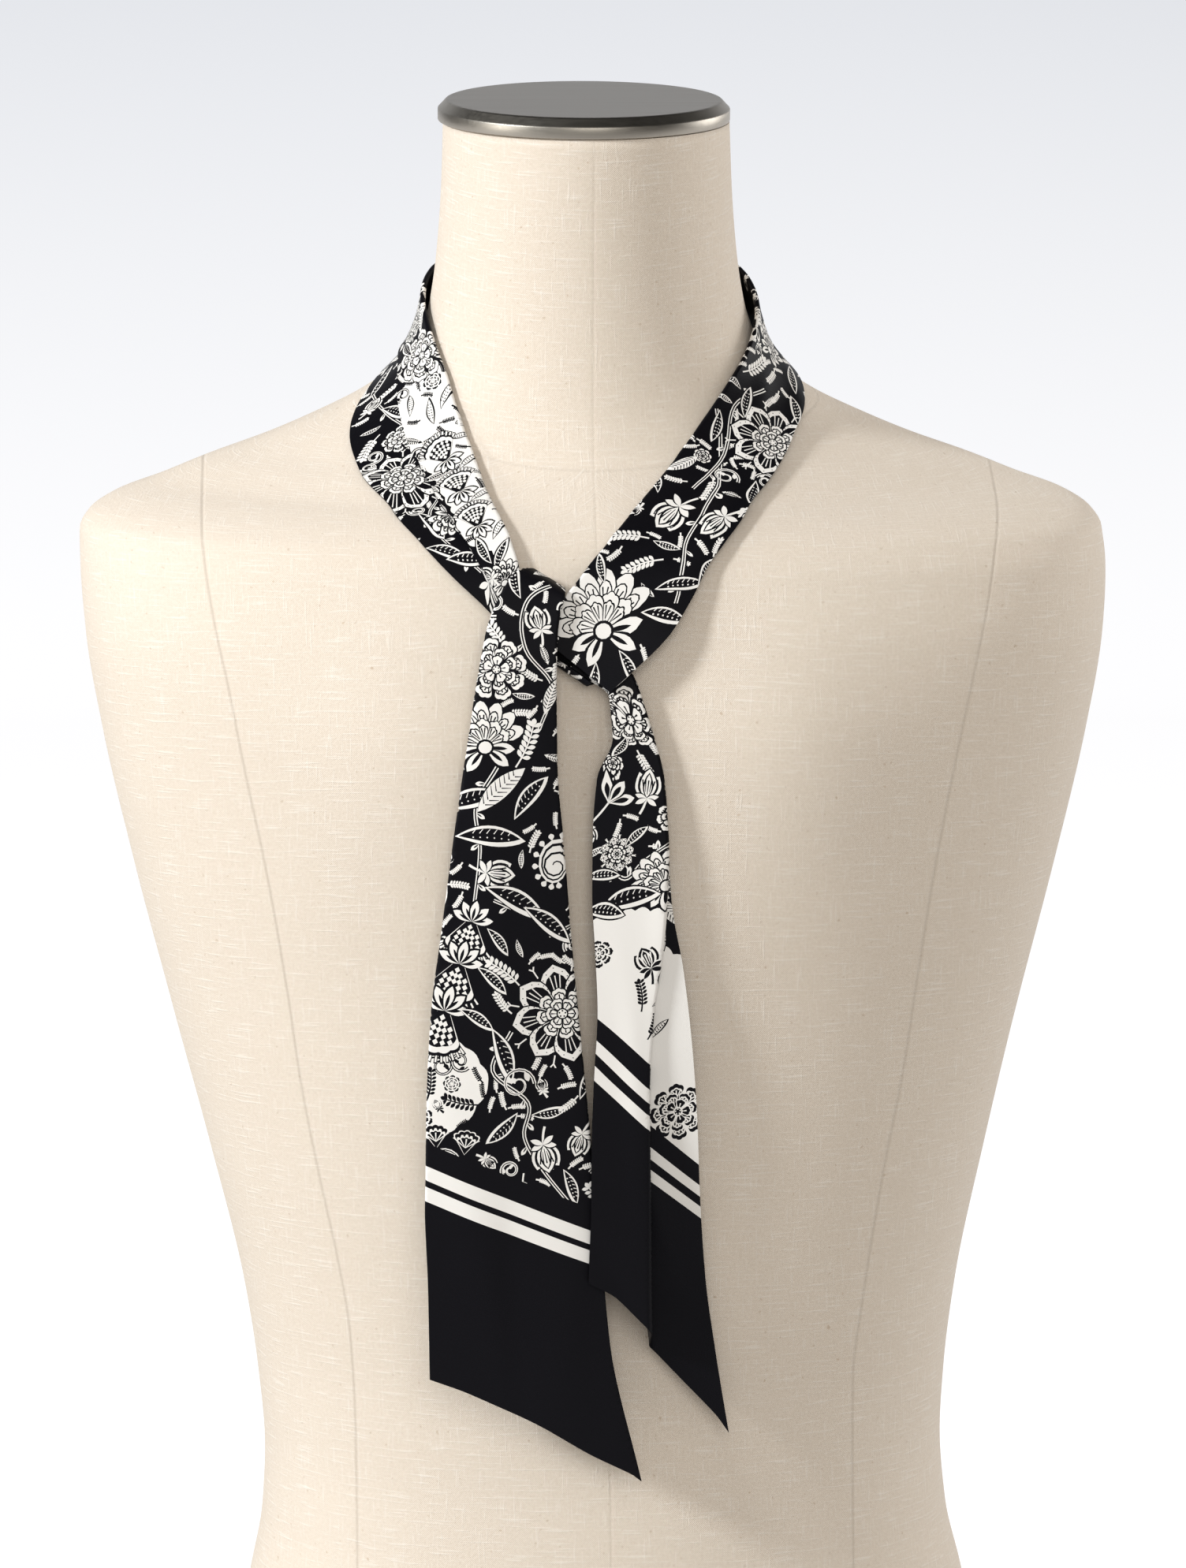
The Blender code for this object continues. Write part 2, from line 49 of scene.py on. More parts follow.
# %% [markdown]
# ## Smooth tables
# Long curved things are described by a few rows of named columns. Between two rows each column
# runs on a cubic that rises and falls only where the rows do, so a curve never overshoots.
# Reading many keys at once keeps the script quick.
# %% Table class
class Table:
    def __init__(self, names, rows):
        self.names = names.split()
        self.rows = np.array(rows, float)
        steps = np.diff(self.rows, axis=0) / np.diff(self.rows[:, 0])[:, None]
        before = np.vstack([steps[:1], steps])
        after = np.vstack([steps, steps[-1:]])
        same_way = before * after > 0.0
        total = np.where(same_way, before + after, 1.0)
        self.slopes = np.where(same_way, 2.0 * before * after / total, 0.0)

    def at(self, key):
        key = np.clip(np.asarray(key, float), self.rows[0, 0], self.rows[-1, 0])
        i = np.searchsorted(self.rows[:, 0], key, side="right") - 1
        i = np.clip(i, 0, len(self.rows) - 2)
        low, high = self.rows[i], self.rows[i + 1]
        span = (high - low)[..., :1]
        t = (key[..., None] - low[..., :1]) / span
        value = low + (high - low) * t * t * (3.0 - 2.0 * t)
        value = value + self.slopes[i] * t * (1.0 - t) ** 2 * span
        value = value + self.slopes[i + 1] * t * t * (t - 1.0) * span
        return {name: value[..., c] for c, name in enumerate(self.names)}


# %% [markdown]
# ## The form's sections
# Each row is a level section of the torso: half width, half depths to the front and back of the
# arms' line, how square it is, and how far its front leans down. The same numbers shaped the
# CAD solid, so the finer cover made from them lies on it.
# %% Form table
FORM = Table("height half_width front back middle squareness tilt sideways", (
    (0.0, 166.0, 113.0, 122.0, 0.0, 2.25, 0.0, 6.0),
    (60.0, 163.0, 109.0, 120.0, 0.0, 2.25, 0.0, 6.0),
    (110.0, 153.8, 103.0, 112.0, 0.0, 2.2, 0.0, 5.6),
    (140.0, 147.5, 100.0, 106.0, 0.0, 2.15, 0.0, 4.8),
    (170.0, 145.5, 98.5, 102.0, 0.0, 2.15, 0.0, 4.1),
    (200.0, 147.4, 99.0, 101.0, 0.0, 2.15, 0.0, 3.5),
    (240.0, 152.6, 101.5, 103.0, 0.0, 2.2, 0.0, 2.9),
    (300.0, 165.6, 106.0, 109.0, 0.0, 2.25, 0.0, 1.9),
    (360.0, 180.0, 110.0, 116.0, 0.0, 2.3, 0.0, 0.9),
    (420.0, 194.8, 113.0, 121.0, 0.0, 2.4, 0.0, 0.7),
    (480.0, 208.0, 114.0, 123.5, 0.0, 2.5, 0.0, 0.7),
    (520.0, 214.2, 110.5, 122.0, 0.0, 2.6, 0.0, 0.6),
    (548.0, 215.8, 104.0, 118.0, 0.0, 2.5, 0.0, 0.2),
    (563.0, 215.2, 99.0, 113.0, 0.5, 2.3, 1.0, -0.6),
    (570.0, 211.2, 96.0, 110.0, 1.0, 2.1, 2.0, -0.8),
    (577.0, 200.8, 93.0, 107.0, 1.5, 1.85, 3.2, -1.0),
    (584.0, 182.0, 89.5, 103.0, 2.0, 1.65, 4.8, -1.2),
    (591.0, 164.0, 85.5, 98.5, 2.5, 1.6, 6.6, -1.3),
    (598.0, 142.5, 81.0, 93.0, 3.0, 1.6, 8.6, -1.4),
    (606.0, 121.0, 76.0, 86.5, 3.5, 1.65, 10.6, -1.5),
    (614.0, 102.0, 71.5, 80.0, 4.0, 1.75, 12.0, -1.7),
    (624.0, 86.0, 67.5, 73.5, 4.0, 1.85, 12.4, -1.9),
    (638.0, 73.0, 64.0, 67.0, 3.0, 1.95, 12.0, -2.2),
    (656.0, 66.2, 61.5, 62.0, 1.0, 2.0, 10.4, -2.5),
    (680.0, 62.6, 60.0, 60.0, -2.5, 2.0, 8.4, -2.8),
    (706.0, 60.6, 59.5, 59.5, -6.5, 2.0, 7.0, -3.0),
    (732.4, 59.6, 59.5, 59.5, -10.0, 2.0, 6.6, -3.2),
))
CHEST = (8.0, 80.0, 480.0, 46.0, 62.0)
BLADES = (6.0, 82.0, 505.0, 42.0, 60.0)


def swell(x, z, mound):
    """Height of a pair of mirrored mounds: size, place across and up, half sizes."""
    size, across, up, half_across, half_up = mound
    return size * np.exp(-((abs(x) - across) / half_across) ** 2 - ((z - up) / half_up) ** 2)


def half_depth(section, x, y):
    chest = section["front"] + swell(x, section["height"], CHEST)
    back = section["back"] + swell(x, section["height"], BLADES)
    return np.where(y < section["middle"], chest, back)


def cover_level(p):
    """How far out places are, as a share of the cover's own distance there, less one."""
    x, y, z = p[..., 0], p[..., 1], p[..., 2]
    height = z
    for _ in range(3):
        section = FORM.at(height)
        height = z - (y - section["middle"]) * np.tan(np.radians(section["tilt"]))
    section = FORM.at(height)
    power = section["squareness"]
    wide = abs(x - section["sideways"]) / section["half_width"]
    deep = abs(y - section["middle"]) / half_depth(section, x, y)
    return (wide ** power + deep ** power) ** (1.0 / power) - 1.0


def cover_gap(p):
    """Distances from the cover to places near it, and the outward directions there."""
    steps = 0.5 * np.eye(3)
    slope = np.stack([cover_level(p + s) - cover_level(p - s) for s in steps], axis=-1)
    length = np.linalg.norm(slope, axis=-1)
    return cover_level(p) / length, slope / length[..., None]


def off_cover(angle, height, lift):
    """Places that stand off the cover by lift, at angles from the front round the neck."""
    turn = np.radians(angle)
    way = np.stack([np.sin(turn), -np.cos(turn), np.zeros_like(turn)], axis=-1)
    up = height[..., None] * np.array([0.0, 0.0, 1.0])
    near, far = np.zeros_like(turn), np.full_like(turn, 432.0)
    for _ in range(16):
        middle = 0.5 * (near + far)
        inside = cover_level(way * middle[..., None] + up) < 0.0
        near, far = np.where(inside, middle, near), np.where(inside, far, middle)
    place = way * near[..., None] + up
    return place + cover_gap(place)[1] * lift[..., None]


NECK_TOP = float(FORM.rows[-1, 0])
print("The form is", NECK_TOP, "mm to the top of its neck")

# %% [markdown]
# ## The scarf's path
# One strip runs round the neck, folded lengthwise. Its fold lies on the neck and its free edges
# on the shoulders. The stretches that leave the form are given by their two edges instead.
# These are again the numbers of the CAD part.
# %% Scarf tables
NECK_LOOP = Table(
    "along fold_angle fold_height fold_lift free_angle free_height free_lift upper lower", (
        (0.0, -2.0, 525.0, 3.2, -7.0, 516.5, 3.2, 0.90, 1.00),
        (16.0, -7.2, 532.5, 3.4, -13.0, 525.5, 3.4, 0.85, 1.00),
        (30.0, -16.4, 544.6, 3.4, -20.0, 531.6, 3.4, 0.75, 1.00),
        (44.0, -18.2, 554.0, 3.2, -25.6, 541.6, 3.2, 0.64, 1.00),
        (60.0, -21.2, 564.8, 2.4, -32.0, 553.3, 2.0, 0.57, 1.00),
        (76.0, -26.6, 575.4, 1.4, -38.6, 564.6, 0.7, 0.54, 1.00),
        (92.0, -33.0, 585.2, 1.2, -47.0, 574.4, 0.6, 0.53, 1.00),
        (124.0, -47.2, 607.2, 1.2, -63.0, 589.0, 0.6, 0.52, 1.00),
        (156.0, -61.6, 632.0, 1.4, -78.6, 605.5, 0.6, 0.52, 1.00),
        (190.0, -79.5, 652.5, 1.8, -93.5, 621.3, 0.6, 0.57, 1.00),
        (230.0, -103.0, 668.5, 2.0, -112.0, 632.0, 0.9, 0.66, 1.00),
        (260.0, -122.0, 676.0, 1.6, -126.0, 636.0, 0.8, 0.74, 1.00),
        (302.0, -150.0, 681.0, 1.4, -151.5, 638.8, 0.8, 0.82, 0.98),
        (345.0, -180.0, 683.0, 1.2, -180.0, 640.0, 0.8, 0.90, 0.95),
        (388.0, -210.0, 680.6, 1.4, -208.5, 639.4, 0.8, 0.97, 0.90),
        (430.0, -237.0, 675.5, 2.0, -234.0, 637.5, 0.8, 1.00, 0.85),
        (460.0, -256.0, 667.5, 3.2, -253.0, 632.5, 0.6, 1.00, 0.82),
        (498.0, -279.0, 651.5, 3.8, -275.2, 618.4, 0.6, 1.00, 0.80),
        (530.0, -297.2, 634.8, 2.4, -290.8, 606.0, 0.6, 1.00, 0.80),
        (562.0, -315.6, 616.6, 1.4, -307.4, 590.4, 0.6, 1.00, 0.80),
        (594.0, -333.9, 596.0, 1.4, -323.8, 575.2, 0.6, 1.00, 0.80),
        (626.0, -351.4, 575.6, 2.2, -337.2, 554.6, 1.2, 1.00, 0.80),
        (642.0, -358.4, 563.4, 4.2, -341.9, 540.2, 3.4, 1.00, 0.80),
        (658.0, -364.4, 551.6, 6.4, -346.4, 527.2, 6.2, 1.00, 0.80),
        (674.0, -369.3, 540.6, 7.6, -352.0, 516.8, 7.6, 1.00, 0.80),
        (696.0, -374.4, 528.2, 7.6, -358.8, 505.2, 7.6, 1.00, 0.80),
    ))
HANGING = "along left_x left_z left_front right_x right_z right_front bow"
WRAP = Table(HANGING, (
    (0.0, -28.6, 526.6, 119.8, -0.6, 506.4, 123.0, 0.0),
    (4.0, -30.4, 524.6, 118.0, -1.6, 504.4, 120.6, 0.0),
    (8.0, -31.0, 524.0, 115.6, -1.8, 504.2, 117.4, 0.0),
    (12.0, -30.6, 525.4, 112.8, -1.8, 505.6, 114.6, 0.0),
    (20.0, -31.4, 532.4, 110.3, -4.6, 513.4, 112.8, 0.0),
    (32.0, -31.6, 541.4, 107.8, -10.6, 527.6, 110.8, 0.0),
    (44.0, -29.2, 548.6, 105.5, -15.2, 539.4, 107.6, 0.0),
    (48.0, -28.6, 551.0, 105.2, -15.2, 542.4, 107.2, 0.0),
))
TAIL_LEFT = Table(HANGING, (
    (0.0, -28.5, 551.7, 105.2, -15.1, 543.2, 107.1, 0.0),
    (4.0, -28.3, 554.2, 105.5, -14.8, 545.6, 107.3, 0.0),
    (8.0, -28.8, 556.0, 108.4, -14.6, 547.4, 111.0, 0.0),
    (13.0, -32.0, 556.4, 112.2, -14.8, 547.2, 116.2, 0.0),
    (17.0, -35.6, 555.2, 114.6, -15.4, 545.2, 120.4, 0.0),
    (28.0, -41.4, 547.0, 119.2, -17.6, 537.6, 122.8, 0.4),
    (40.0, -47.0, 535.0, 122.6, -18.6, 528.0, 124.4, 0.8),
    (60.0, -50.8, 516.5, 124.8, -19.0, 509.0, 125.6, 1.0),
    (90.0, -55.2, 488.5, 125.2, -18.8, 480.0, 125.2, 1.6),
    (130.0, -61.0, 450.5, 124.8, -15.6, 442.0, 123.8, 2.4),
    (170.0, -66.2, 411.5, 124.2, -12.4, 402.0, 122.8, 2.8),
    (210.0, -71.0, 372.5, 123.6, -8.6, 361.0, 121.8, 2.8),
    (250.0, -72.7, 334.0, 123.0, -4.6, 318.0, 121.2, 2.4),
    (290.0, -73.2, 297.0, 122.4, -1.2, 277.0, 120.8, 2.2),
    (325.0, -72.0, 262.0, 122.0, 2.6, 236.0, 120.4, 2.2),
    (362.0, -71.4, 223.6, 121.6, 15.4, 179.4, 119.6, 2.0),
))
TAIL_RIGHT = Table(
    "along left_x left_z left_front right_x right_z right_front crease pleat turn bend", (
        (0.0, -13.4, 516.2, 118.6, -3.4, 524.6, 117.0, 1.00, 7.0, 180.0, 0.8),
        (11.0, -6.0, 510.8, 119.2, 4.0, 519.5, 118.0, 1.00, 7.5, 180.0, 0.8),
        (21.0, 1.7, 504.8, 119.8, 11.4, 513.6, 118.8, 1.00, 8.0, 180.0, 0.8),
        (32.0, 2.6, 496.6, 121.2, 16.4, 500.6, 120.4, 1.00, 11.0, 180.0, 0.8),
        (42.0, 3.3, 487.4, 122.0, 20.4, 487.0, 121.4, 1.00, 13.0, 180.0, 0.8),
        (58.0, -3.0, 471.4, 122.6, 24.2, 468.0, 121.8, 1.00, 16.0, 180.0, 0.8),
        (82.0, -4.8, 447.4, 123.0, 25.8, 444.0, 122.0, 1.00, 17.0, 180.0, 0.8),
        (106.0, -5.0, 424.0, 123.6, 27.6, 419.0, 122.2, 0.93, 17.0, 180.0, 0.8),
        (130.0, -3.9, 401.0, 124.2, 32.2, 393.0, 122.4, 0.76, 15.0, 180.0, 0.8),
        (156.0, -2.9, 376.0, 124.8, 35.6, 365.0, 122.4, 0.60, 14.0, 180.0, 0.8),
        (184.0, -4.3, 349.0, 125.2, 38.2, 333.0, 122.0, 0.54, 12.0, 176.0, 0.9),
        (214.0, -5.3, 320.0, 125.4, 40.2, 297.0, 121.6, 0.53, 10.0, 160.0, 1.3),
        (242.0, -5.5, 294.0, 125.2, 43.4, 261.0, 121.0, 0.51, 9.0, 130.0, 2.2),
        (260.0, -6.0, 278.0, 125.0, 47.8, 230.0, 120.6, 0.48, 8.0, 104.0, 3.0),
        (276.0, -6.6, 264.0, 124.8, 53.2, 196.0, 120.2, 0.45, 8.0, 84.0, 3.6),
    ))
SCARF_WIDTH = 76.0
LAYER = 1.2
FOLD_RADIUS = 0.8
HALF_CLOTH = 0.36
SETTLE = 4.0
ACROSS = 16
print("Scarf rows:", [len(t.rows) for t in (NECK_LOOP, WRAP, TAIL_LEFT, TAIL_RIGHT)])

# %% [markdown]
# ## Rows across the strip
# A row is a line of places across the strip at one station. On the neck the line between the
# two edges is pushed clear of the cover, and sinks a little into the hollow at its foot, as
# soft cloth does.
# %% Row readers
def neck_rows(table, along):
    row = table.at(along)
    fold = off_cover(row["fold_angle"], row["fold_height"], row["fold_lift"])
    free = off_cover(row["free_angle"], row["free_height"], row["free_lift"])
    share = np.linspace(0.0, 1.0, ACROSS + 1)
    places = fold[:, None] + (free - fold)[:, None] * share[:, None]
    least = row["fold_lift"][:, None] + (row["free_lift"] - row["fold_lift"])[:, None] * share
    for _ in range(3):
        gap, outward = cover_gap(places)
        places = places + outward * np.maximum(least - gap, 0.0)[..., None]
    gap, outward = cover_gap(places)
    sunk = np.minimum(gap - least, SETTLE * 4.0 * share * (1.0 - share))
    return row, places - outward * sunk[..., None]


def hanging_rows(table, along):
    row = table.at(along)
    left = np.stack([row["left_x"], -row["left_front"], row["left_z"]], axis=-1)
    right = np.stack([row["right_x"], -row["right_front"], row["right_z"]], axis=-1)
    share = np.linspace(0.0, 1.0, ACROSS + 1)
    places = left[:, None] + (right - left)[:, None] * share[:, None]
    bow = row.get("bow", np.zeros(len(along)))
    places[..., 1] -= bow[:, None] * 4.0 * share * (1.0 - share)
    return row, places


# %% [markdown]
# ## Walking the cloth's section
# The cloth's cross-section is walked like a path: so far ahead, then turning evenly through an
# angle. A fold is a half turn, a pleat is a half turn and its opposite. All stations are walked
# at once, each with its own lengths.
# %% Sections
class Walk:
    def __init__(self, across, depth, heading):
        self.across = np.asarray(across, float)
        self.depth = np.full_like(self.across, depth)
        self.heading = np.full_like(self.across, math.radians(heading))
        self.walked = np.zeros_like(self.across)
        self.samples = []
        self.keep()

    def keep(self):
        self.samples.append((self.across, self.depth, self.heading, self.walked))

    def go(self, length, turn=0.0, steps=12):
        for _ in range(steps):
            half = np.radians(turn) / (2 * steps)
            heading = self.heading + half
            self.across = self.across + np.cos(heading) * length / steps
            self.depth = self.depth + np.sin(heading) * length / steps
            self.heading = heading + half
            self.walked = self.walked + length / steps
            self.keep()
        return self


def folded_section(row, width):
    """Folded lengthwise: lower layer in from the free edge, the fold, upper layer out."""
    half = LAYER / 2.0
    edge = FOLD_RADIUS + half
    walk = Walk(row["lower"] * width, half, 180.0)
    walk.go(row["lower"] * width - edge, steps=20)
    walk.go(math.pi * FOLD_RADIUS, -180.0, steps=10)
    walk.go(row["upper"] * width - edge, steps=20)
    fold = (row["lower"] * width - edge) + 0.5 * math.pi * FOLD_RADIUS
    return walk.samples, fold


def plain_section(row, width):
    walk = Walk(np.zeros_like(width), -LAYER / 2.0, 0.0).go(width, steps=20)
    return walk.samples, 0.5 * width


def tucked_section(row, width):
    """Spare width is tucked back behind both edges."""
    half = LAYER / 2.0
    spare = np.minimum((SCARF_WIDTH - width) / 2.0, 0.42 * width)
    spare = np.maximum(spare, 0.3)
    turned = np.minimum(spare, math.pi * FOLD_RADIUS)
    turn = np.degrees(turned / FOLD_RADIUS)
    edge = (FOLD_RADIUS + half) * np.sin(np.radians(np.minimum(turn, 90.0)))
    right = Walk(width - edge, -half, 0.0)
    right.go(turned, -turn, steps=8).go(spare - turned + 0.1, steps=5)
    middle = Walk(edge, -half, 0.0).go(width - 2.0 * edge, steps=32)
    left = [(width - a, d, 2.0 * math.pi - h, -w) for a, d, h, w in right.samples]
    samples = left[:0:-1] + middle.samples
    beyond = middle.walked
    samples += [(a, d, h, w + beyond) for a, d, h, w in right.samples[1:]]
    return samples, 0.5 * (width - 2.0 * edge)


def pleated_section(row, width):
    """A front panel, back under it from the crease, and out again."""
    half = LAYER / 2.0
    turn, bend = row["turn"], row["bend"]
    walk = Walk(np.zeros_like(width), -half, 0.0)
    walk.go(row["crease"] * width - bend - half, steps=20)
    walk.go(np.radians(turn) * bend, -turn, steps=9)
    walk.go(row["pleat"], steps=6)
    walk.go(np.radians(turn) * bend, turn, steps=9)
    walk.go(np.maximum(width - walk.across, 0.4), steps=14)
    return walk.samples, 0.5 * walk.walked


# %% [markdown]
# ## From sections to a sheet
# The walked section is set on the places of each row. That gives a net of points in space, and
# for each of them its point in the flat cloth: how far it is across the strip and along it. The
# print is drawn in the flat cloth, so it bends and turns with every fold.
# Soft creases are added to the net one by one, as long low ridges and troughs.
# %% Sheet class
def crossed(a, b):
    c = np.cross(a, b)
    return c / np.maximum(np.linalg.norm(c, axis=-1, keepdims=True), 1e-9)


def read_across(places, share):
    """Places at shares of the way across each row, run on past the row's ends."""
    step = share * ACROSS
    i = np.clip(step.astype(int), 0, ACROSS - 1)
    rows = np.arange(len(places))[:, None]
    return places[rows, i] + (places[rows, i + 1] - places[rows, i]) * (step - i)[..., None]


def slopes(values):
    return np.gradient(values, axis=0)


class Sheet:
    """A strip of cloth as a net: its points in space and in the flat cloth."""

    def __init__(self, table, read_rows, section, start, end, step, creases=(), hem=None):
        count = max(int(round((end - start) / step)), 2)
        along = np.linspace(start, end, count + 1)
        row, places = read_rows(table, along)
        width = np.linalg.norm(np.diff(places, axis=1), axis=-1).sum(axis=1)
        samples, middle = section(row, width)
        across, depth, heading, walked = (np.stack(v, axis=1) for v in zip(*samples))
        share = across / width[:, None]
        base = read_across(places, share)
        side = read_across(places, np.minimum(share + 0.06, 1.0))
        side = side - read_across(places, np.maximum(share - 0.06, 0.0))
        outward = crossed(slopes(base), side)
        ends = places[:, -1] - places[:, 0]
        if section is pleated_section:
            cloth = walked[:, -1:] - walked[:, :1]
            fall = np.minimum(ends[:, 2:], 0.0)
            base = base.copy()
            base[..., 2] += fall * ((walked - walked[:, :1]) / cloth - share)
        self.place = base + outward * depth[..., None]
        line = places.mean(axis=1)
        onward = slopes(line)
        onward = onward / np.linalg.norm(onward, axis=-1, keepdims=True)
        lean = (ends * onward).sum(axis=-1) / np.linalg.norm(ends, axis=-1)
        steps = np.linalg.norm(np.diff(line, axis=0), axis=-1)
        down = start + np.concatenate([[0.0], np.cumsum(steps)])
        off_middle = walked - (middle[:, None] if np.ndim(middle) else middle)
        flat_x = off_middle * np.sqrt(1.0 - lean ** 2)[:, None]
        flat_y = down[:, None] + off_middle * lean[:, None]
        self.flat = np.stack([flat_x, flat_y], axis=-1)
        self.hem = self.flat[-1].copy()
        if hem is not None:
            share = (self.hem[:, 0] - flat_x[-1, 0]) / (flat_x[-1, -1] - flat_x[-1, 0])
            self.hem[:, 1] -= hem.at(share)["rise"]
        self.set_normals()
        if creases:
            self.place = self.place + self.normal * self.rumple(creases)[..., None]
            self.set_normals()

    def set_normals(self):
        along = slopes(self.place)
        self.normal = crossed(along, np.gradient(self.place, axis=1))

    def rumple(self, creases):
        """Height of the listed creases: x, y, turn, length, width, height."""
        total = np.zeros(self.flat.shape[:2])
        for x, y, turn, length, width, height in creases:
            c, s = math.cos(math.radians(turn)), math.sin(math.radians(turn))
            dx, dy = self.flat[..., 0] - x, self.flat[..., 1] - y
            along, off = dx * c + dy * s, dy * c - dx * s
            total += height * np.exp(-(2.0 * along / length) ** 2 - (2.0 * off / width) ** 2)
        return total

    def find(self, points):
        """Net coordinates (row, column) of points in the flat cloth."""
        rows, columns = self.flat.shape[:2]
        k = np.full(len(points), (rows - 1) / 2.0)
        for _ in range(6):
            low = np.clip(k.astype(int), 0, rows - 2)
            t = (k - low)[:, None]
            xs = self.flat[low, :, 0] * (1.0 - t) + self.flat[low + 1, :, 0] * t
            i = np.clip((xs < points[:, :1]).sum(axis=1) - 1, 0, columns - 2)
            pick = np.arange(len(points))
            gap = np.maximum(xs[pick, i + 1] - xs[pick, i], 1e-6)
            s = np.clip((points[:, 0] - xs[pick, i]) / gap, 0.0, 1.0)
            ys = self.flat[:, i, 1] * (1.0 - s) + self.flat[:, i + 1, 1] * s
            k_low = np.clip((ys < points[:, 1]).sum(axis=0) - 1, 0, rows - 2)
            gap = np.maximum(ys[k_low + 1, pick] - ys[k_low, pick], 1e-6)
            k = k_low + np.clip((points[:, 1] - ys[k_low, pick]) / gap, 0.0, 1.0)
        return k, i + s

    def read(self, values, k, i):
        """Values of the net between its points."""
        a = np.clip(k.astype(int), 0, values.shape[0] - 2)
        b = np.clip(i.astype(int), 0, values.shape[1] - 2)
        t, s = (k - a)[:, None], (i - b)[:, None]
        top = values[a, b] * (1.0 - s) + values[a, b + 1] * s
        low = values[a + 1, b] * (1.0 - s) + values[a + 1, b + 1] * s
        return top * (1.0 - t) + low * t

    def outline(self):
        """The flat cloth's outline, with its hem cut to shape."""
        flat = self.flat
        return np.vstack([flat[0], flat[1:-1, -1], self.hem[::-1], flat[-2:0:-1, 0]])


# %% [markdown]
# ## Drawing motifs
# The print is a set of plain closed outlines laid over one another like cut paper, each either
# white (1) or black (0). A motif is a short list of such outlines round its own middle, drawn by
# formula: petals are drops, stems are ribbons, centres are rings of ovals. They are the
# ordinary flowers and leaves of a block print, and none follows the photograph's own lines.
# %% Shapes
def oval(x, y, wide, high, count=12):
    turn = np.linspace(0.0, 2.0 * math.pi, count, endpoint=False)
    return np.stack([x + wide * np.cos(turn), y + high * np.sin(turn)], axis=-1)


def drop(length, width, full=0.62, count=7, bend=0.0):
    """A petal from the origin along +Y, widest at a share of its length."""
    t = np.linspace(0.0, 1.0, count + 1)[1:]
    power = math.log(0.5) / math.log(full)
    half = 0.5 * width * np.sin(math.pi * t[:-1] ** power) ** 0.8
    mid_y = length * t[:-1]
    lean = bend * length * t[:-1] ** 2
    right = np.stack([lean + half, mid_y], axis=-1)
    left = np.stack([lean - half, mid_y], axis=-1)[::-1]
    return np.vstack([[(0.0, 0.0)], right, [(bend * length, length)], left])


def scalloped(length, width, lobes=3, depth=0.12):
    """A petal whose outer end is cut in round lobes."""
    t = np.linspace(-1.0, 1.0, 6 * lobes + 1)
    reach = 1.0 - depth + depth * abs(np.cos(t * lobes * math.pi / 2.0))
    turn = t * 1.25
    x = 0.5 * width * np.sin(turn) * reach / math.sin(1.25)
    y = length * (0.55 + 0.45 * np.cos(turn) * reach)
    return np.vstack([[(0.0, 0.0)], np.stack([x, y], axis=-1)[::-1]])


def ribbon(points, widths):
    """A line of changing width through points."""
    points = np.asarray(points, float)
    widths = np.interp(np.linspace(0, 1, len(points)), np.linspace(0, 1, len(widths)), widths)
    way = np.gradient(points, axis=0)
    way = way / np.maximum(np.linalg.norm(way, axis=-1, keepdims=True), 1e-9)
    side = np.stack([-way[:, 1], way[:, 0]], axis=-1) * widths[:, None] / 2.0
    return np.vstack([points + side, (points - side)[::-1]])


def arc(length, turn, count=9):
    """Points of an even bend from the origin along +Y."""
    t = np.linspace(0.0, 1.0, count)
    heading = math.pi / 2.0 + np.radians(turn) * t
    step = length / (count - 1)
    x = np.concatenate([[0.0], np.cumsum(np.cos(heading[:-1]) * step)])
    y = np.concatenate([[0.0], np.cumsum(np.sin(heading[:-1]) * step)])
    return np.stack([x, y], axis=-1)


def turned(shape, degrees, x=0.0, y=0.0):
    c, s = math.cos(math.radians(degrees)), math.sin(math.radians(degrees))
    return np.asarray(shape) @ np.array([[c, s], [-s, c]]) + np.array([x, y])


def placed(shapes, degrees, x=0.0, y=0.0):
    return [(ink, turned(shape, degrees, x, y)) for ink, shape in shapes]


# %% [markdown]
# ### Flowers
# A bloom is rings of petals from the outside in. Every petal is laid on a slightly larger black
# one, which leaves a black line round it, and carries short black strokes like a wood block's.
# %% Flower motifs
LINE = 0.62


def petal(length, width, strokes=3, lobes=3):
    """A white petal outlined in black, with an inner line and strokes from its edge."""
    shapes = [
        (0, scalloped(length + LINE, width + 2.0 * LINE, lobes) - (0.0, 0.3 * LINE)),
        (1, scalloped(length, width, lobes)),
    ]
    if length > 5.0:
        shapes.append((0, scalloped(length * 0.8, width * 0.78, lobes)))
        shapes.append((1, scalloped(length * 0.8 - LINE, width * 0.78 - 1.6 * LINE, lobes)))
    for i in range(strokes):
        lean = (i - (strokes - 1) / 2.0) * 0.6
        stroke = ribbon([(0.0, 0.28 * length), (lean * width * 0.42, 0.66 * length)], [0.2, LINE])
        shapes.append((0, stroke))
    return shapes


def ring(count, reach, length, width, start=0.0, strokes=3, lobes=3):
    shapes = []
    for i in range(count):
        turn = start + 360.0 * i / count
        at = turned([(0.0, reach)], turn)[0]
        shapes += placed(petal(length, width, strokes, lobes), turn, *at)
    return shapes


def seed_head(size):
    shapes = [(0, oval(0.0, 0.0, size, size)), (1, oval(0.0, 0.0, size - LINE, size - LINE))]
    for i in range(5):
        x, y = turned([(0.0, 0.5 * size)], 72.0 * i)[0]
        shapes.append((0, oval(x, y, 0.16 * size, 0.16 * size, 6)))
    return shapes


def peony(size):
    shapes = ring(8, 0.30 * size, 0.70 * size, 0.60 * size, 0.0)
    shapes += ring(7, 0.16 * size, 0.52 * size, 0.44 * size, 20.0, 2)
    shapes += ring(5, 0.05 * size, 0.38 * size, 0.34 * size, 50.0, 1)
    return shapes + seed_head(0.17 * size)


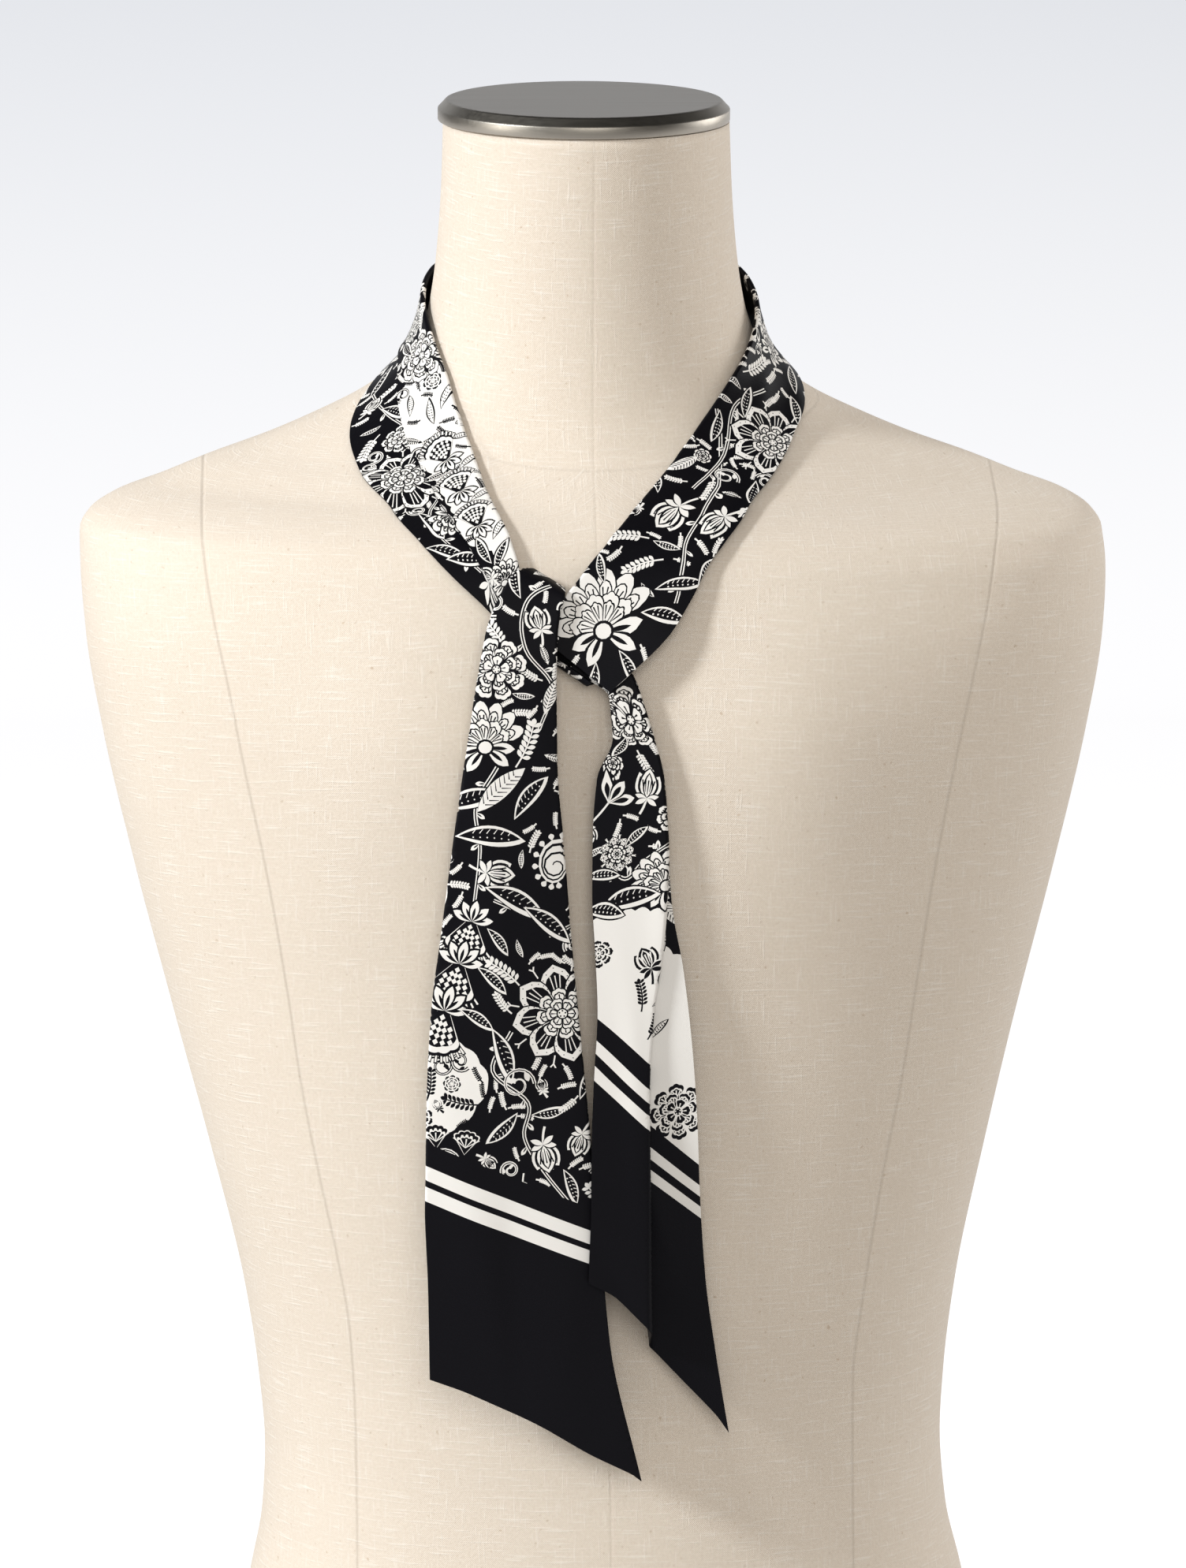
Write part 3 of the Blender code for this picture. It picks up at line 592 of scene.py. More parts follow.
def daisy(size):
    """Wide pointed petals with a dotted border, round a close-petalled heart."""
    shapes = []
    for i in range(8):
        one = [
            (0, drop(size * 1.04, size * 0.66, 0.66)),
            (1, drop(size, size * 0.60, 0.66)),
            (0, drop(size * 0.86, size * 0.46, 0.66)),
        ]
        edge = drop(size * 0.93, size * 0.53, 0.66, 9)
        one += [(0, oval(x, y, 0.27, 0.27, 5)) for x, y in edge[4:-3]]
        for lean in (-0.10, 0.0, 0.10):
            foot, tip = (0.3 * lean * size, 0.3 * size), (lean * size, 0.78 * size)
            one.append((1, ribbon([foot, tip], [0.3, 0.5])))
        shapes += placed(one, 45.0 * i + 12.0)
        shapes += placed([(1, turned(fork(0.24 * size), 0.0, 0.0, 0.86 * size))], 45.0 * i + 34.5)
    shapes += ring(8, 0.16 * size, 0.36 * size, 0.30 * size, 10.0, 1)
    shapes += ring(6, 0.04 * size, 0.28 * size, 0.26 * size, 30.0, 1)
    return shapes + seed_head(0.12 * size)


def fork(length):
    """A stamen that ends in two short arms."""
    return np.array([
        (-0.3, 0.0), (0.3, 0.0), (0.3, 0.7 * length), (0.28 * length, length),
        (0.16 * length, 1.04 * length), (0.0, 0.82 * length), (-0.16 * length, 1.04 * length),
        (-0.28 * length, length), (-0.3, 0.7 * length),
    ])


def tulip(size):
    """A closed bud with three petals, cut tips and a leafy foot."""
    shapes = [(1, ribbon(arc(0.9 * size, 30.0), [0.8, 1.0]) * (1.0, -1.0))]
    for turn, wide, tall in ((-24.0, 0.62, 1.02), (24.0, 0.62, 1.02), (0.0, 0.66, 1.12)):
        shapes += placed([
            (0, drop(tall * size + LINE, wide * size + 2.0 * LINE, 0.5)),
            (1, drop(tall * size, wide * size, 0.5)),
            (0, turned(drop(0.84 * tall * size, 0.66 * wide * size, 0.5), 0.0, 0.0, 0.05 * size)),
            (1, turned(drop(0.76 * tall * size, 0.46 * wide * size, 0.5), 0.0, 0.0, 0.08 * size)),
            (0, ribbon([(0.0, 0.2 * size), (0.0, 0.62 * size)], [0.3, 0.5])),
        ], turn, 0.0, -0.25 * size)
    for i in range(5):
        lean = -0.5 + 0.25 * i
        foot, tip = (0.3 * lean * size, 0.05 * size), (lean * 0.5 * size, 0.5 * size)
        shapes.append((0, ribbon([foot, tip], [0.2, LINE])))
    for turn in (-75.0, 75.0, -120.0, 120.0):
        shapes += placed([(0, drop(0.5 * size + LINE, 0.3 * size, 0.5)),
                          (1, drop(0.5 * size, 0.2 * size, 0.5))], turn, 0.0, -0.22 * size)
    return shapes


# %% [markdown]
# ### Leaves, sprigs and cones
# The leaves come in two kinds, one with a row of dots and one with a comb of strokes. Latticed
# scales, set one above another, make the long cones at the edges of the white grounds.
# %% Leaf motifs
def leaf(size):
    """A bent leaf with a white border, dots down its black middle and a vein."""
    length, width = 2.0 * size, 0.62 * size
    shapes = [
        (0, drop(length + LINE, width + 2.0 * LINE, 0.55, 10, 0.22)),
        (1, drop(length, width, 0.55, 10, 0.22)),
        (0, turned(drop(0.88 * length, 0.66 * width, 0.55, 10, 0.20), 0.0, 0.0, 0.05 * length)),
    ]
    for i in range(6):
        y = length * (0.26 + 0.1 * i)
        x = 0.22 * length * (y / length) ** 2
        shapes.append((1, oval(x + 0.09 * width, y, 0.34, 0.34, 6)))
        stroke = ribbon([(x - 0.10 * width, y), (x - 0.28 * width, y + 0.06 * length)], [0.4, 0.2])
        shapes.append((1, stroke))
    return [(ink, s - (0.1 * length, 0.5 * length)) for ink, s in shapes]


def feather(size):
    """A white leaf with a comb of black strokes on both sides of its vein."""
    length, width = 2.0 * size, 0.6 * size
    shapes = [(0, drop(length + LINE, width + 2.0 * LINE, 0.5, 9, 0.1)),
              (1, drop(length, width, 0.5, 9, 0.1))]
    for i in range(8):
        y = length * (0.16 + 0.09 * i)
        x = 0.1 * length * (y / length) ** 2
        for side in (-1.0, 1.0):
            end = (x + side * 0.42 * width, y + 0.1 * length)
            shapes.append((0, ribbon([(x + side * 0.3, y), end], [0.5, 0.25])))
    return [(ink, s - (0.05 * length, 0.5 * length)) for ink, s in shapes]


def sprig(size):
    """A thin stem with small leaves to both sides."""
    stem = arc(2.0 * size, 24.0)
    shapes = [(1, ribbon(stem, [0.7, 0.5]))]
    for i, (x, y) in enumerate(stem[2:]):
        for side in (-1.0, 1.0):
            shape = turned(drop(0.42 * size, 0.2 * size, 0.6, 5), side * 55.0 + 3.0 * i, x, y)
            shapes.append((1, shape))
    shapes.append((1, turned(drop(0.4 * size, 0.24 * size, 0.6, 5), 24.0, *stem[-1])))
    return [(ink, s - (0.0, size)) for ink, s in shapes]


def bud(size):
    """Three short pointed leaves on a stalk."""
    shapes = [(1, ribbon(arc(size, 10.0), [0.8, 0.8]) * (1.0, -1.0))]
    for turn in (-42.0, 42.0, 0.0):
        shapes += placed([(0, drop(1.2 * size + LINE, 0.62 * size + LINE)),
                          (1, drop(1.2 * size, 0.5 * size)),
                          (0, turned(drop(0.8 * size, 0.24 * size), 0.0, 0.0, 0.15 * size))], turn)
    return shapes


def curl(size):
    """A stem that rolls up into a spiral and carries two leaves."""
    t = np.linspace(0.0, 1.0, 26)
    reach = size * (1.0 - 0.82 * t)
    turn = t * 2.9 * math.pi
    line = np.stack([reach * np.cos(turn), reach * np.sin(turn)], axis=-1)
    shapes = [(1, ribbon(line, [1.5, 1.1, 0.6])), (0, ribbon(line[:18], [0.5, 0.2]))]
    for at, lean in ((3, 200.0), (8, 280.0)):
        shapes.append((1, turned(drop(0.7 * size, 0.32 * size), lean, *line[at])))
    return shapes


def scallop(size):
    """A half round of lobes with a dotted hem."""
    shapes = placed(petal(1.4 * size, 1.5 * size, 5, 5), 0.0, 0.0, -0.6 * size)
    for i in range(5):
        x, y = turned([(0.0, 0.62 * size)], -50.0 + 25.0 * i)[0]
        shapes.append((0, oval(x, y - 0.1 * size, 0.09 * size, 0.09 * size, 6)))
    return shapes


def paisley(size):
    """A hooked drop with a spiral heart and a toothed edge."""
    t = np.linspace(0.0, 1.0, 15)
    turn = 2.0 * math.pi * t[:-1]
    reach = size * (0.75 + 0.25 * np.cos(turn * 0.5))
    body = np.stack([reach * np.cos(turn) * 0.78, reach * np.sin(turn)], axis=-1)
    shapes = [(0, 1.12 * body), (1, body), (0, 0.86 * body), (1, 0.76 * body)]
    for i in range(11):
        x, y = 0.98 * body[i + 1]
        lean = math.degrees(turn[i + 1]) - 90.0
        shapes.append((1, turned(drop(0.24 * size, 0.2 * size), lean, x, y)))
    reach = 0.55 * size * (1 - 0.8 * t)
    line = np.stack([reach * np.cos(9 * t), reach * np.sin(9 * t)], axis=-1)
    shapes.append((0, ribbon(line, [1.0, 0.5])))
    return shapes


def scale(size):
    """A latticed fan that hangs from a crown of pointed leaves and ends in a fringe."""
    shapes = []
    for i in range(13):
        tip = turned([(0.0, -1.36 * size)], 9.5 * (i - 6))[0]
        shapes.append((0, ribbon([(0.0, 0.2 * size), tip * 1.04], [0.6, 1.5])))
        shapes.append((1, ribbon([(0.0, 0.2 * size), tip], [0.3, 0.75])))
    for ink, length, width, lobes in (
            (0, 2.00, 2.05, 5), (1, 1.88, 1.88, 5), (0, 1.66, 1.56, 3)):
        shape = scalloped(length * size, width * size, lobes, 0.07)
        shapes.append((ink, turned(shape, 180.0, 0.0, 0.85 * size)))
    for j in range(5):
        for i in range(-2, 3):
            if abs(i) <= j:
                x = 0.24 * size * i * (0.55 + 0.14 * j)
                y = (0.30 - 0.23 * j + 0.03 * i * i) * size
                shapes.append((1, oval(x, y, 0.11 * size, 0.12 * size, 4)))
    for turn in (-74.0, 74.0, -38.0, 38.0, 0.0):
        at = (0.0, 0.55 * size)
        shapes.append((0, turned(drop(1.02 * size, 0.52 * size, 0.55), turn, *at)))
        shapes.append((1, turned(drop(0.92 * size, 0.36 * size, 0.55), turn, *at)))
        shapes.append((0, turned(drop(0.62 * size, 0.12 * size, 0.55), turn, *at)))
    return shapes


def palmette(size):
    """A fan of long white petals over a bowl of short ones."""
    shapes = []
    for i in range(7):
        turn = 26.0 * (i - 3)
        shapes += placed(petal(1.1 * size, 0.46 * size, 2, 1), turn, 0.0, -0.15 * size)
    for i in range(5):
        turn = 34.0 * (i - 2)
        shapes += placed(petal(0.72 * size, 0.40 * size, 2), turn, 0.0, -0.25 * size)
    for turn in (-100.0, 100.0, -135.0, 135.0):
        at = (0.0, -0.3 * size)
        shapes.append((0, turned(drop(0.86 * size, 0.42 * size), turn, *at)))
        shapes.append((1, turned(drop(0.80 * size, 0.30 * size), turn, *at)))
        shapes.append((0, turned(drop(0.60 * size, 0.10 * size), turn, *at)))
    shapes += [(0, oval(0.0, -0.3 * size, 0.24 * size, 0.22 * size)),
               (1, oval(0.0, -0.3 * size, 0.18 * size, 0.16 * size))]
    return shapes


MOTIFS = {
    "peony": peony, "daisy": daisy, "tulip": tulip, "leaf": leaf, "bud": bud, "feather": feather,
    "sprig": sprig, "curl": curl, "scallop": scallop, "paisley": paisley, "scale": scale,
    "palmette": palmette,
}
print("Motifs:", {name: len(make(10.0)) for name, make in MOTIFS.items()}, "outlines each")

# %% [markdown]
# ## Laying the print into the cloth
# The outlines are cut into one flat mesh together with the net's own points. Each triangle takes
# the ink of the topmost outline that covers it. Then every point is lifted to its place on the
# sheet. The print is therefore part of the mesh, with edges as sharp as block printing, and it
# needs no picture. The front and the back of the cloth are made alike and closed by a rim.
# %% Inlay
def turns_right(shape):
    """True for a closed outline that runs clockwise."""
    x, y = np.asarray(shape).T
    return (x * np.roll(y, -1) - y * np.roll(x, -1)).sum() < 0.0


def cut_flat(sheet, prints):
    """The flat cloth cut by a print: points, triangles and their ink."""
    corners = sheet.outline()
    corners = corners[::-1] if turns_right(corners) else corners
    rows, columns = sheet.flat.shape[:2]
    inner = [sheet.flat[k, i] for k in range(1, rows - 1) for i in range(1, columns - 1)]
    points = [corners, inner]
    faces = [list(range(len(corners)))]
    inks = [0]
    total = len(corners) + len(inner)
    for ink, shape in prints:
        points.append(shape[::-1] if turns_right(shape) else shape)
        faces.append(list(range(total, total + len(shape))))
        inks.append(ink)
        total += len(shape)
    flat = np.vstack([np.asarray(p, float) for p in points if len(p)])
    made = delaunay_2d_cdt([Vector(p) for p in flat], [], faces, 1, 1e-3, True)
    spots = np.array([tuple(p) for p in made[0]])
    keep, colours = [], []
    for face, over in zip(made[2], made[5]):
        if 0 in over:
            keep.append(face)
            colours.append(inks[max(over)])
    return spots, np.array(keep, int), np.array(colours, int)


def rim_order(triangles, spots):
    """The points round the outside of a cut, in order."""
    edges = np.vstack([triangles[:, [0, 1]], triangles[:, [1, 2]], triangles[:, [2, 0]]])
    edges = np.sort(edges, axis=1)
    unique, uses = np.unique(edges, axis=0, return_counts=True)
    links = {}
    for a, b in unique[uses == 1]:
        links.setdefault(a, []).append(b)
        links.setdefault(b, []).append(a)
    start = min(links, key=lambda a: (spots[a][1], spots[a][0]))
    loop, before, here = [start], None, start
    while True:
        onward = [b for b in links[here] if b != before]
        ahead = max(onward, key=lambda b: spots[b][0]) if before is None else onward[0]
        if ahead == start:
            return loop
        loop.append(ahead)
        before, here = here, ahead


def zipped(first, second, first_at, second_at):
    """Triangles between two closed lines of points that run the same way."""
    faces = []
    i = j = 0
    while i < len(first) or j < len(second):
        a = first_at[i + 1] if i + 1 < len(first_at) else 1.0
        b = second_at[j + 1] if j + 1 < len(second_at) else 1.0
        p, q = first[i % len(first)], second[j % len(second)]
        if i < len(first) and (a <= b or j >= len(second)):
            faces.append((p, q, first[(i + 1) % len(first)]))
            i += 1
        else:
            faces.append((p, q, second[(j + 1) % len(second)]))
            j += 1
    return faces


def round_shares(loop, spots, corner):
    """How far round the rim each point lies, from the point nearest a corner."""
    line = spots[loop]
    first = int(np.argmin(((line - corner) ** 2).sum(axis=1)))
    loop = loop[first:] + loop[:first]
    line = spots[loop]
    steps = np.linalg.norm(np.roll(line, -1, axis=0) - line, axis=1)
    return loop, np.concatenate([[0.0], np.cumsum(steps)[:-1]]) / steps.sum()


def stand(name, data):
    """A new object in the scene."""
    thing = bpy.data.objects.new(name, data)
    bpy.context.scene.collection.objects.link(thing)
    return thing


def make_cloth(name, sheet, outer, inner, materials):
    """A closed thin shell on a sheet, with one print on its outer face and one on its inner."""
    points, normals, flats, triangles, inks, loops = [], [], [], [], [], []
    count = 0
    for side, prints in ((1.0, outer), (-1.0, inner)):
        spots, faces, colours = cut_flat(sheet, prints)
        k, i = sheet.find(spots)
        normal = sheet.read(sheet.normal, k, i)
        normal = normal / np.linalg.norm(normal, axis=1, keepdims=True)
        place = sheet.read(sheet.place, k, i) + normal * side * HALF_CLOTH
        a, b, c = (place[faces[:, n]] for n in range(3))
        facing = (np.cross(b - a, c - a) * normal[faces[:, 0]]).sum(axis=1) * side
        if np.median(facing) < 0.0:
            faces = faces[:, ::-1]
        loop, at = round_shares(rim_order(faces, spots), spots, sheet.flat[0, 0])
        loops.append(([count + v for v in loop], at))
        points.append(place)
        normals.append(normal * side)
        flats.append(spots)
        triangles.append(faces + count)
        inks.append(colours)
        count += len(spots)
    rim = np.array(zipped(loops[0][0], loops[1][0], loops[0][1], loops[1][1]), int)
    place, normal = np.vstack(points) * MM, np.vstack(normals)
    flat = np.vstack(flats) * MM
    a, b, c = (place[rim[:, n]] for n in range(3))
    outward = place[rim].mean(axis=1) - sheet.place.mean(axis=(0, 1)) * MM
    if ((np.cross(b - a, c - a)) * outward).sum() < 0.0:
        rim = rim[:, ::-1]
    faces = np.vstack(triangles + [rim])
    edge_ink = np.concatenate(inks + [np.zeros(len(rim), int)])
    mesh = bpy.data.meshes.new(name)
    mesh.from_pydata(place.tolist(), [], faces.tolist())
    for material in materials:
        mesh.materials.append(material)
    mesh.polygons.foreach_set("material_index", edge_ink.astype(np.int32))
    layer = mesh.uv_layers.new(name="flat")
    layer.data.foreach_set("uv", flat[faces.ravel()].ravel())
    mesh.shade_smooth()
    mesh.normals_split_custom_set_from_vertices([tuple(n) for n in normal])
    mesh.update()
    return stand(name, mesh)


UP_IS_BACK = (1.0, -1.0)
UP_IS_ONWARD = (1.0, 1.0)
SEEN_FROM_UNDER = (-1.0, 1.0)


def set_motifs(table, hand):
    """Outlines of a table of motifs: kind, place across and along, size and turn."""
    prints = []
    for kind, x, y, size, turn, *changed in table:
        other = bool(changed and changed[0])
        for ink, shape in MOTIFS[kind](float(size)):
            prints.append((1 - ink if other else ink, turned(shape, -turn) * hand + (x, y)))
    return prints


def vine(points, width=1.7):
    """A stem with a dark heart through places in the flat cloth, with leaves to both sides."""
    points = np.array(points, float)
    ends = np.vstack([2.0 * points[0] - points[1], points, 2.0 * points[-1] - points[-2]])
    line = []
    for a, b, c, d in zip(ends, ends[1:], ends[2:], ends[3:]):
        for t in np.linspace(0.0, 1.0, 7, endpoint=False):
            bend = (2 * a - 5 * b + 4 * c - d) * t * t + (3 * b - a - 3 * c + d) * t ** 3
            line.append(0.5 * (2 * b + (c - a) * t + bend))
    line = np.array(line + [points[-1]])
    shapes = [(0, ribbon(line, [width + 1.0, width + 1.0]))]
    for i in range(3, len(line) - 1, 5):
        way = line[i + 1] - line[i - 1]
        lean = math.degrees(math.atan2(way[1], way[0])) - 90.0
        side = 58.0 if i % 2 else -58.0
        shapes.append((1, turned(drop(4.6, 1.9), lean + side, *line[i])))
        shapes.append((0, turned(drop(3.2, 0.6), lean + side, *line[i])))
    shapes.append((1, ribbon(line, [width, 0.8 * width])))
    shapes.append((0, ribbon(line, [0.42 * width, 0.3 * width])))
    return shapes


def inside(shape, x, y):
    """True where a place lies inside a closed outline."""
    a, b = shape, np.roll(shape, -1, axis=0)
    spans = (a[:, 1] > y) != (b[:, 1] > y)
    rise = np.where(spans, b[:, 1] - a[:, 1], 1.0)
    at = a[:, 0] + (y - a[:, 1]) / rise * (b[:, 0] - a[:, 0])
    return bool((spans & (x < at)).sum() % 2)


TRIES = 2600
SMALLEST = 2.3
FILLERS = ("leaf", "sprig", "bud", "feather", "tulip", "leaf", "curl", "sprig", "peony")


def fill_gaps(seed, spans, taken, grounds=(), largest=6.5):
    """Small motifs in the places that the large ones leave free, from a seeded draw."""
    draw = np.random.default_rng(seed)
    (x_from, x_to), (y_from, y_to) = spans
    discs = [(x, y, 0.86 * size) for x, y, size in taken]
    prints = []
    for _ in range(TRIES):
        x = x_from + (x_to - x_from) * draw.random()
        y = y_from + (y_to - y_from) * draw.random()
        free = min([math.hypot(x - a, y - b) - r for a, b, r in discs] or [largest])
        turn = 360.0 * draw.random()
        if free < SMALLEST:
            continue
        size = min(free, largest)
        discs.append((x, y, 0.9 * size))
        on_ground = any(inside(shape, x, y) for _, shape in grounds)
        kind = FILLERS[len(discs) % len(FILLERS)] if size > 3.2 else "sprig"
        for ink, shape in MOTIFS[kind](1.15 * size):
            prints.append((1 - ink if on_ground else ink, turned(shape, turn, x, y)))
    return prints


def spots_of(table, *vines):
    """Places and sizes that a table of motifs and some vines take up."""
    taken = [(row[1], row[2], row[3]) for row in table]
    return taken + [(x, y, 2.5) for line in vines for x, y in line]


def printed(seed, spans, table, vines=(), hand=UP_IS_BACK, grounds=(), largest=6.5, width=1.7):
    """A table's motifs over its vines, over the small motifs that fill what they leave free."""
    prints = fill_gaps(seed, spans, spots_of(table, *vines), grounds, largest)
    for line in vines:
        prints += vine(line, width)
    return prints + set_motifs(table, hand)


# %% [markdown]
# ## Materials
# Shader sums are written as plain arithmetic: a small class wraps a socket and turns each
# operator into a Math node. Any other node is made by one method that sets its settings first
# and its sockets second.
# %% Wire class
class Wire:
    def __init__(self, tree, socket=None):
        self.tree, self.socket = tree, socket

    def node(self, kind, settings=None, inputs=None, output=0):
        made = self.tree.nodes.new(kind)
        for name, value in (settings or {}).items():
            setattr(made, name, value)
        for name, value in (inputs or {}).items():
            if isinstance(value, Wire):
                self.tree.links.new(value.socket, made.inputs[name])
            else:
                made.inputs[name].default_value = value
        return Wire(self.tree, made.outputs[output])

    def math(self, operation, *values):
        return self.node("ShaderNodeMath", {"operation": operation}, dict(enumerate(values)))

    def __add__(self, other):
        return self.math("ADD", self, other)

    def __sub__(self, other):
        return self.math("SUBTRACT", self, other)

    def __mul__(self, other):
        return self.math("MULTIPLY", self, other)

    def __truediv__(self, other):
        return self.math("DIVIDE", self, other)

    def __pow__(self, other):
        return self.math("POWER", self, other)

    def __radd__(self, other):
        return self.math("ADD", other, self)

    def __rsub__(self, other):
        return self.math("SUBTRACT", other, self)

    def __rmul__(self, other):
        return self.math("MULTIPLY", other, self)

    def __rtruediv__(self, other):
        return self.math("DIVIDE", other, self)

    def __abs__(self):
        return self.math("ABSOLUTE", self)

    def sine(self):
        return self.math("SINE", self)

    def limit(self):
        return self.math("MINIMUM", self.math("MAXIMUM", self, 0.0), 1.0)

    def mix(self, other, share):
        """This colour changed toward another by a share."""
        settings = {"data_type": "RGBA"}
        return self.node("ShaderNodeMix", settings, {0: share, 6: self, 7: other}, 2)

    def split(self):
        parts = self.node("ShaderNodeSeparateXYZ", None, {0: self})
        outputs = parts.socket.node.outputs
        return [Wire(self.tree, outputs[n]) for n in range(3)]

    def noise(self, place, scale, detail):
        inputs = {"Vector": place, "Scale": scale, "Detail": detail}
        return self.node("ShaderNodeTexNoise", None, inputs)

    def bump(self, height, strength, distance):
        inputs = {"Height": height, "Strength": strength, "Distance": distance}
        return self.node("ShaderNodeBump", None, inputs)


def new_material(name, colour, roughness, **more):
    """A Principled material with plain values. Returns it and a wire in its node tree."""
    material = bpy.data.materials.new(name)
    material.use_nodes = True
    shader = material.node_tree.nodes["Principled BSDF"]
    shader.inputs["Base Color"].default_value = (*colour, 1.0)
    shader.inputs["Roughness"].default_value = roughness
    for socket, value in more.items():
        shader.inputs[socket.replace("_", " ")].default_value = value
    return material, Wire(material.node_tree)


def drive(material, socket, wire):
    shader = material.node_tree.nodes["Principled BSDF"]
    material.node_tree.links.new(wire.socket, shader.inputs[socket])


# %% [markdown]
# ### Twill
# The scarf's two inks share one cloth. Its fine slanting ribs are a sine of the flat cloth's two
# coordinates, given to a Bump node. A low gleam lightens the black where it faces the lights.
# %% Twill materials
RIB = 0.00062


def twill(name, colour, roughness, gleam, uneven):
    material, wire = new_material(name, colour, roughness, Specular_IOR_Level=gleam)
    flat = wire.node("ShaderNodeUVMap", {"uv_map": "flat"})
    x, y, _ = flat.split()
    ribs = ((x + y * 0.8) * (2.0 * math.pi / RIB)).sine()
    cloudy = wire.noise(flat, 45.0, 3.0)
    grain = wire.noise(flat, 900.0, 2.0)
    base = wire.node("ShaderNodeRGB")
    base.socket.default_value = (*colour, 1.0)
    lighter = tuple(min(c * (1.0 + uneven), 1.0) for c in colour)
    share = (ribs * 0.25 + 0.25 + grain * 0.5).limit()
    drive(material, "Base Color", base.mix((*lighter, 1.0), share))
    drive(material, "Roughness", roughness - 0.06 + cloudy * 0.12)
    height = ribs * 0.5 + grain * 0.6
    drive(material, "Normal", wire.bump(height, 0.35, 0.00008))
    return material


black_twill = twill("twill_black", (0.0036, 0.0034, 0.0048), 0.46, 0.07, 0.5)
white_twill = twill("twill_white", (0.79, 0.77, 0.735), 0.55, 0.20, 0.05)
TWILL = (black_twill, white_twill)
print("Twill ribs every", RIB * 1000.0, "mm")

# %% [markdown]
# ## Grounds, stripes and motifs, stretch by stretch
# Each stretch gets a table of motifs: kind, place across and along the flat cloth, size, and
# turn to the right of straight up as it is seen. A last 1 changes black and white over. Vines
# join some of them, and small motifs fill what is left. Near both ends of the scarf two white
# stripes cross it, and below them it is plain black.
# %% Stripes and grounds
DARK_EDGE = 9.8
BELOW_HEM = -40.0
REACH = 45.0


def slanted(sheet, slant, low, high, ink):
    """A slanted band across the cloth, between two heights above the hem's left end."""
    left = sheet.flat[-1, 0]
    x = np.arange(-REACH, REACH + 1.0)
    edge = left[1] + (x - left[0]) * slant
    sides = [np.stack([x, edge - up], axis=-1) for up in (low, high)]
    return ink, np.vstack([sides[0], sides[1][::-1]])


def lobed(points, lobe=6.0, bulge=1.4):
    """A ground's outline, with small round lobes along its sides."""
    points = np.array(points, float)
    line = []
    for a, b in zip(points, np.roll(points, -1, axis=0)):
        way = b - a
        length = np.linalg.norm(way)
        out = np.array([way[1], -way[0]]) / length
        lobes = max(int(length / lobe), 1)
        for t in np.linspace(0.0, 1.0, 5 * lobes, endpoint=False):
            line.append(a + way * t + out * bulge * abs(math.sin(math.pi * lobes * t)))
    return 1, np.array(line)


def end_stripes(sheet, slant, low, stripe, step):
    """The plain black end and the two stripes over it."""
    prints = [slanted(sheet, slant, BELOW_HEM, low + step + stripe + DARK_EDGE, 0)]
    for start in (low, low + step):
        prints.append(slanted(sheet, slant, start, start + stripe, 1))
    return prints


# %% [markdown]
# ### The left end
# It comes from behind the knot over its top and hangs in front. Its spare width is tucked
# behind both edges. It widens to the full cloth at the hem, which is cut to a soft curve.
# %% Left end
LEFT_MOTIFS = (
    ("leaf", -9, 19, 7, -50), ("tulip", 6, 33, 10, -30), ("sprig", -10, 39, 7, -35),
    ("peony", -9, 53, 12.5, -20), ("palmette", -12, 80, 15, -10), ("sprig", 6, 84, 9, 30),
    ("feather", 14, 62, 8, 10), ("leaf", -16, 106, 13, 60), ("feather", -4, 101, 13, 40),
    ("leaf", 8, 104, 11, 24), ("leaf", -8, 121, 14, 80), ("paisley", 19, 132, 12, 0),
    ("tulip", -7, 135, 11, 95), ("leaf", 3, 147, 14, 105), ("leaf", 16, 156, 12, 115),
    ("scale", -16, 160, 9.5, 14), ("scale", -21, 178, 10.5, 16), ("scale", -27, 197, 11, 18),
    ("leaf", -4, 163, 7, 130), ("leaf", -6, 179, 8, 120), ("leaf", -12, 195, 8, 110),
    ("sprig", 1, 176, 8, -40), ("daisy", 23, 193, 21, 0), ("leaf", -2, 210, 12, 150),
    ("curl", 4, 222, 7, 0), ("tulip", 14, 250, 11, 170), ("tulip", 29, 246, 9, 200),
    ("leaf", 24, 266, 8, 150), ("scallop", -30, 243, 7, 0, 1), ("scallop", -18, 246, 7, 10, 1),
    ("leaf", -3, 240, 9, 215), ("sprig", 4, 266, 7, 190), ("leaf", 34, 222, 9, 20),
    ("sprig", -31, 222, 6, 20, 1),
)
LEFT_VINES = (
    ((2.0, 200.0), (-6.0, 216.0), (8.0, 230.0), (6.0, 244.0), (13.0, 258.0), (26.0, 276.0)),
    ((-6.0, 92.0), (-14.0, 108.0), (-12.0, 126.0), (-14.0, 150.0)),
    ((34.0, 150.0), (22.0, 158.0), (8.0, 152.0), (-6.0, 146.0)),
    ((4.0, 14.0), (-2.0, 26.0), (2.0, 44.0), (14.0, 58.0), (10.0, 76.0)),
)
LEFT_GROUND = lobed((
    (-48.0, 199.0), (-27.0, 201.0), (-17.0, 206.0), (-11.0, 213.0), (-8.0, 221.0),
    (-13.0, 230.0), (-20.0, 238.0), (-30.0, 241.0), (-48.0, 246.0)))
LEFT_HEM = Table("share rise", (
    (0.0, 0.0), (0.2, 2.6), (0.5, 3.6), (0.8, 1.2), (0.95, 1.2), (1.0, 0.0)))
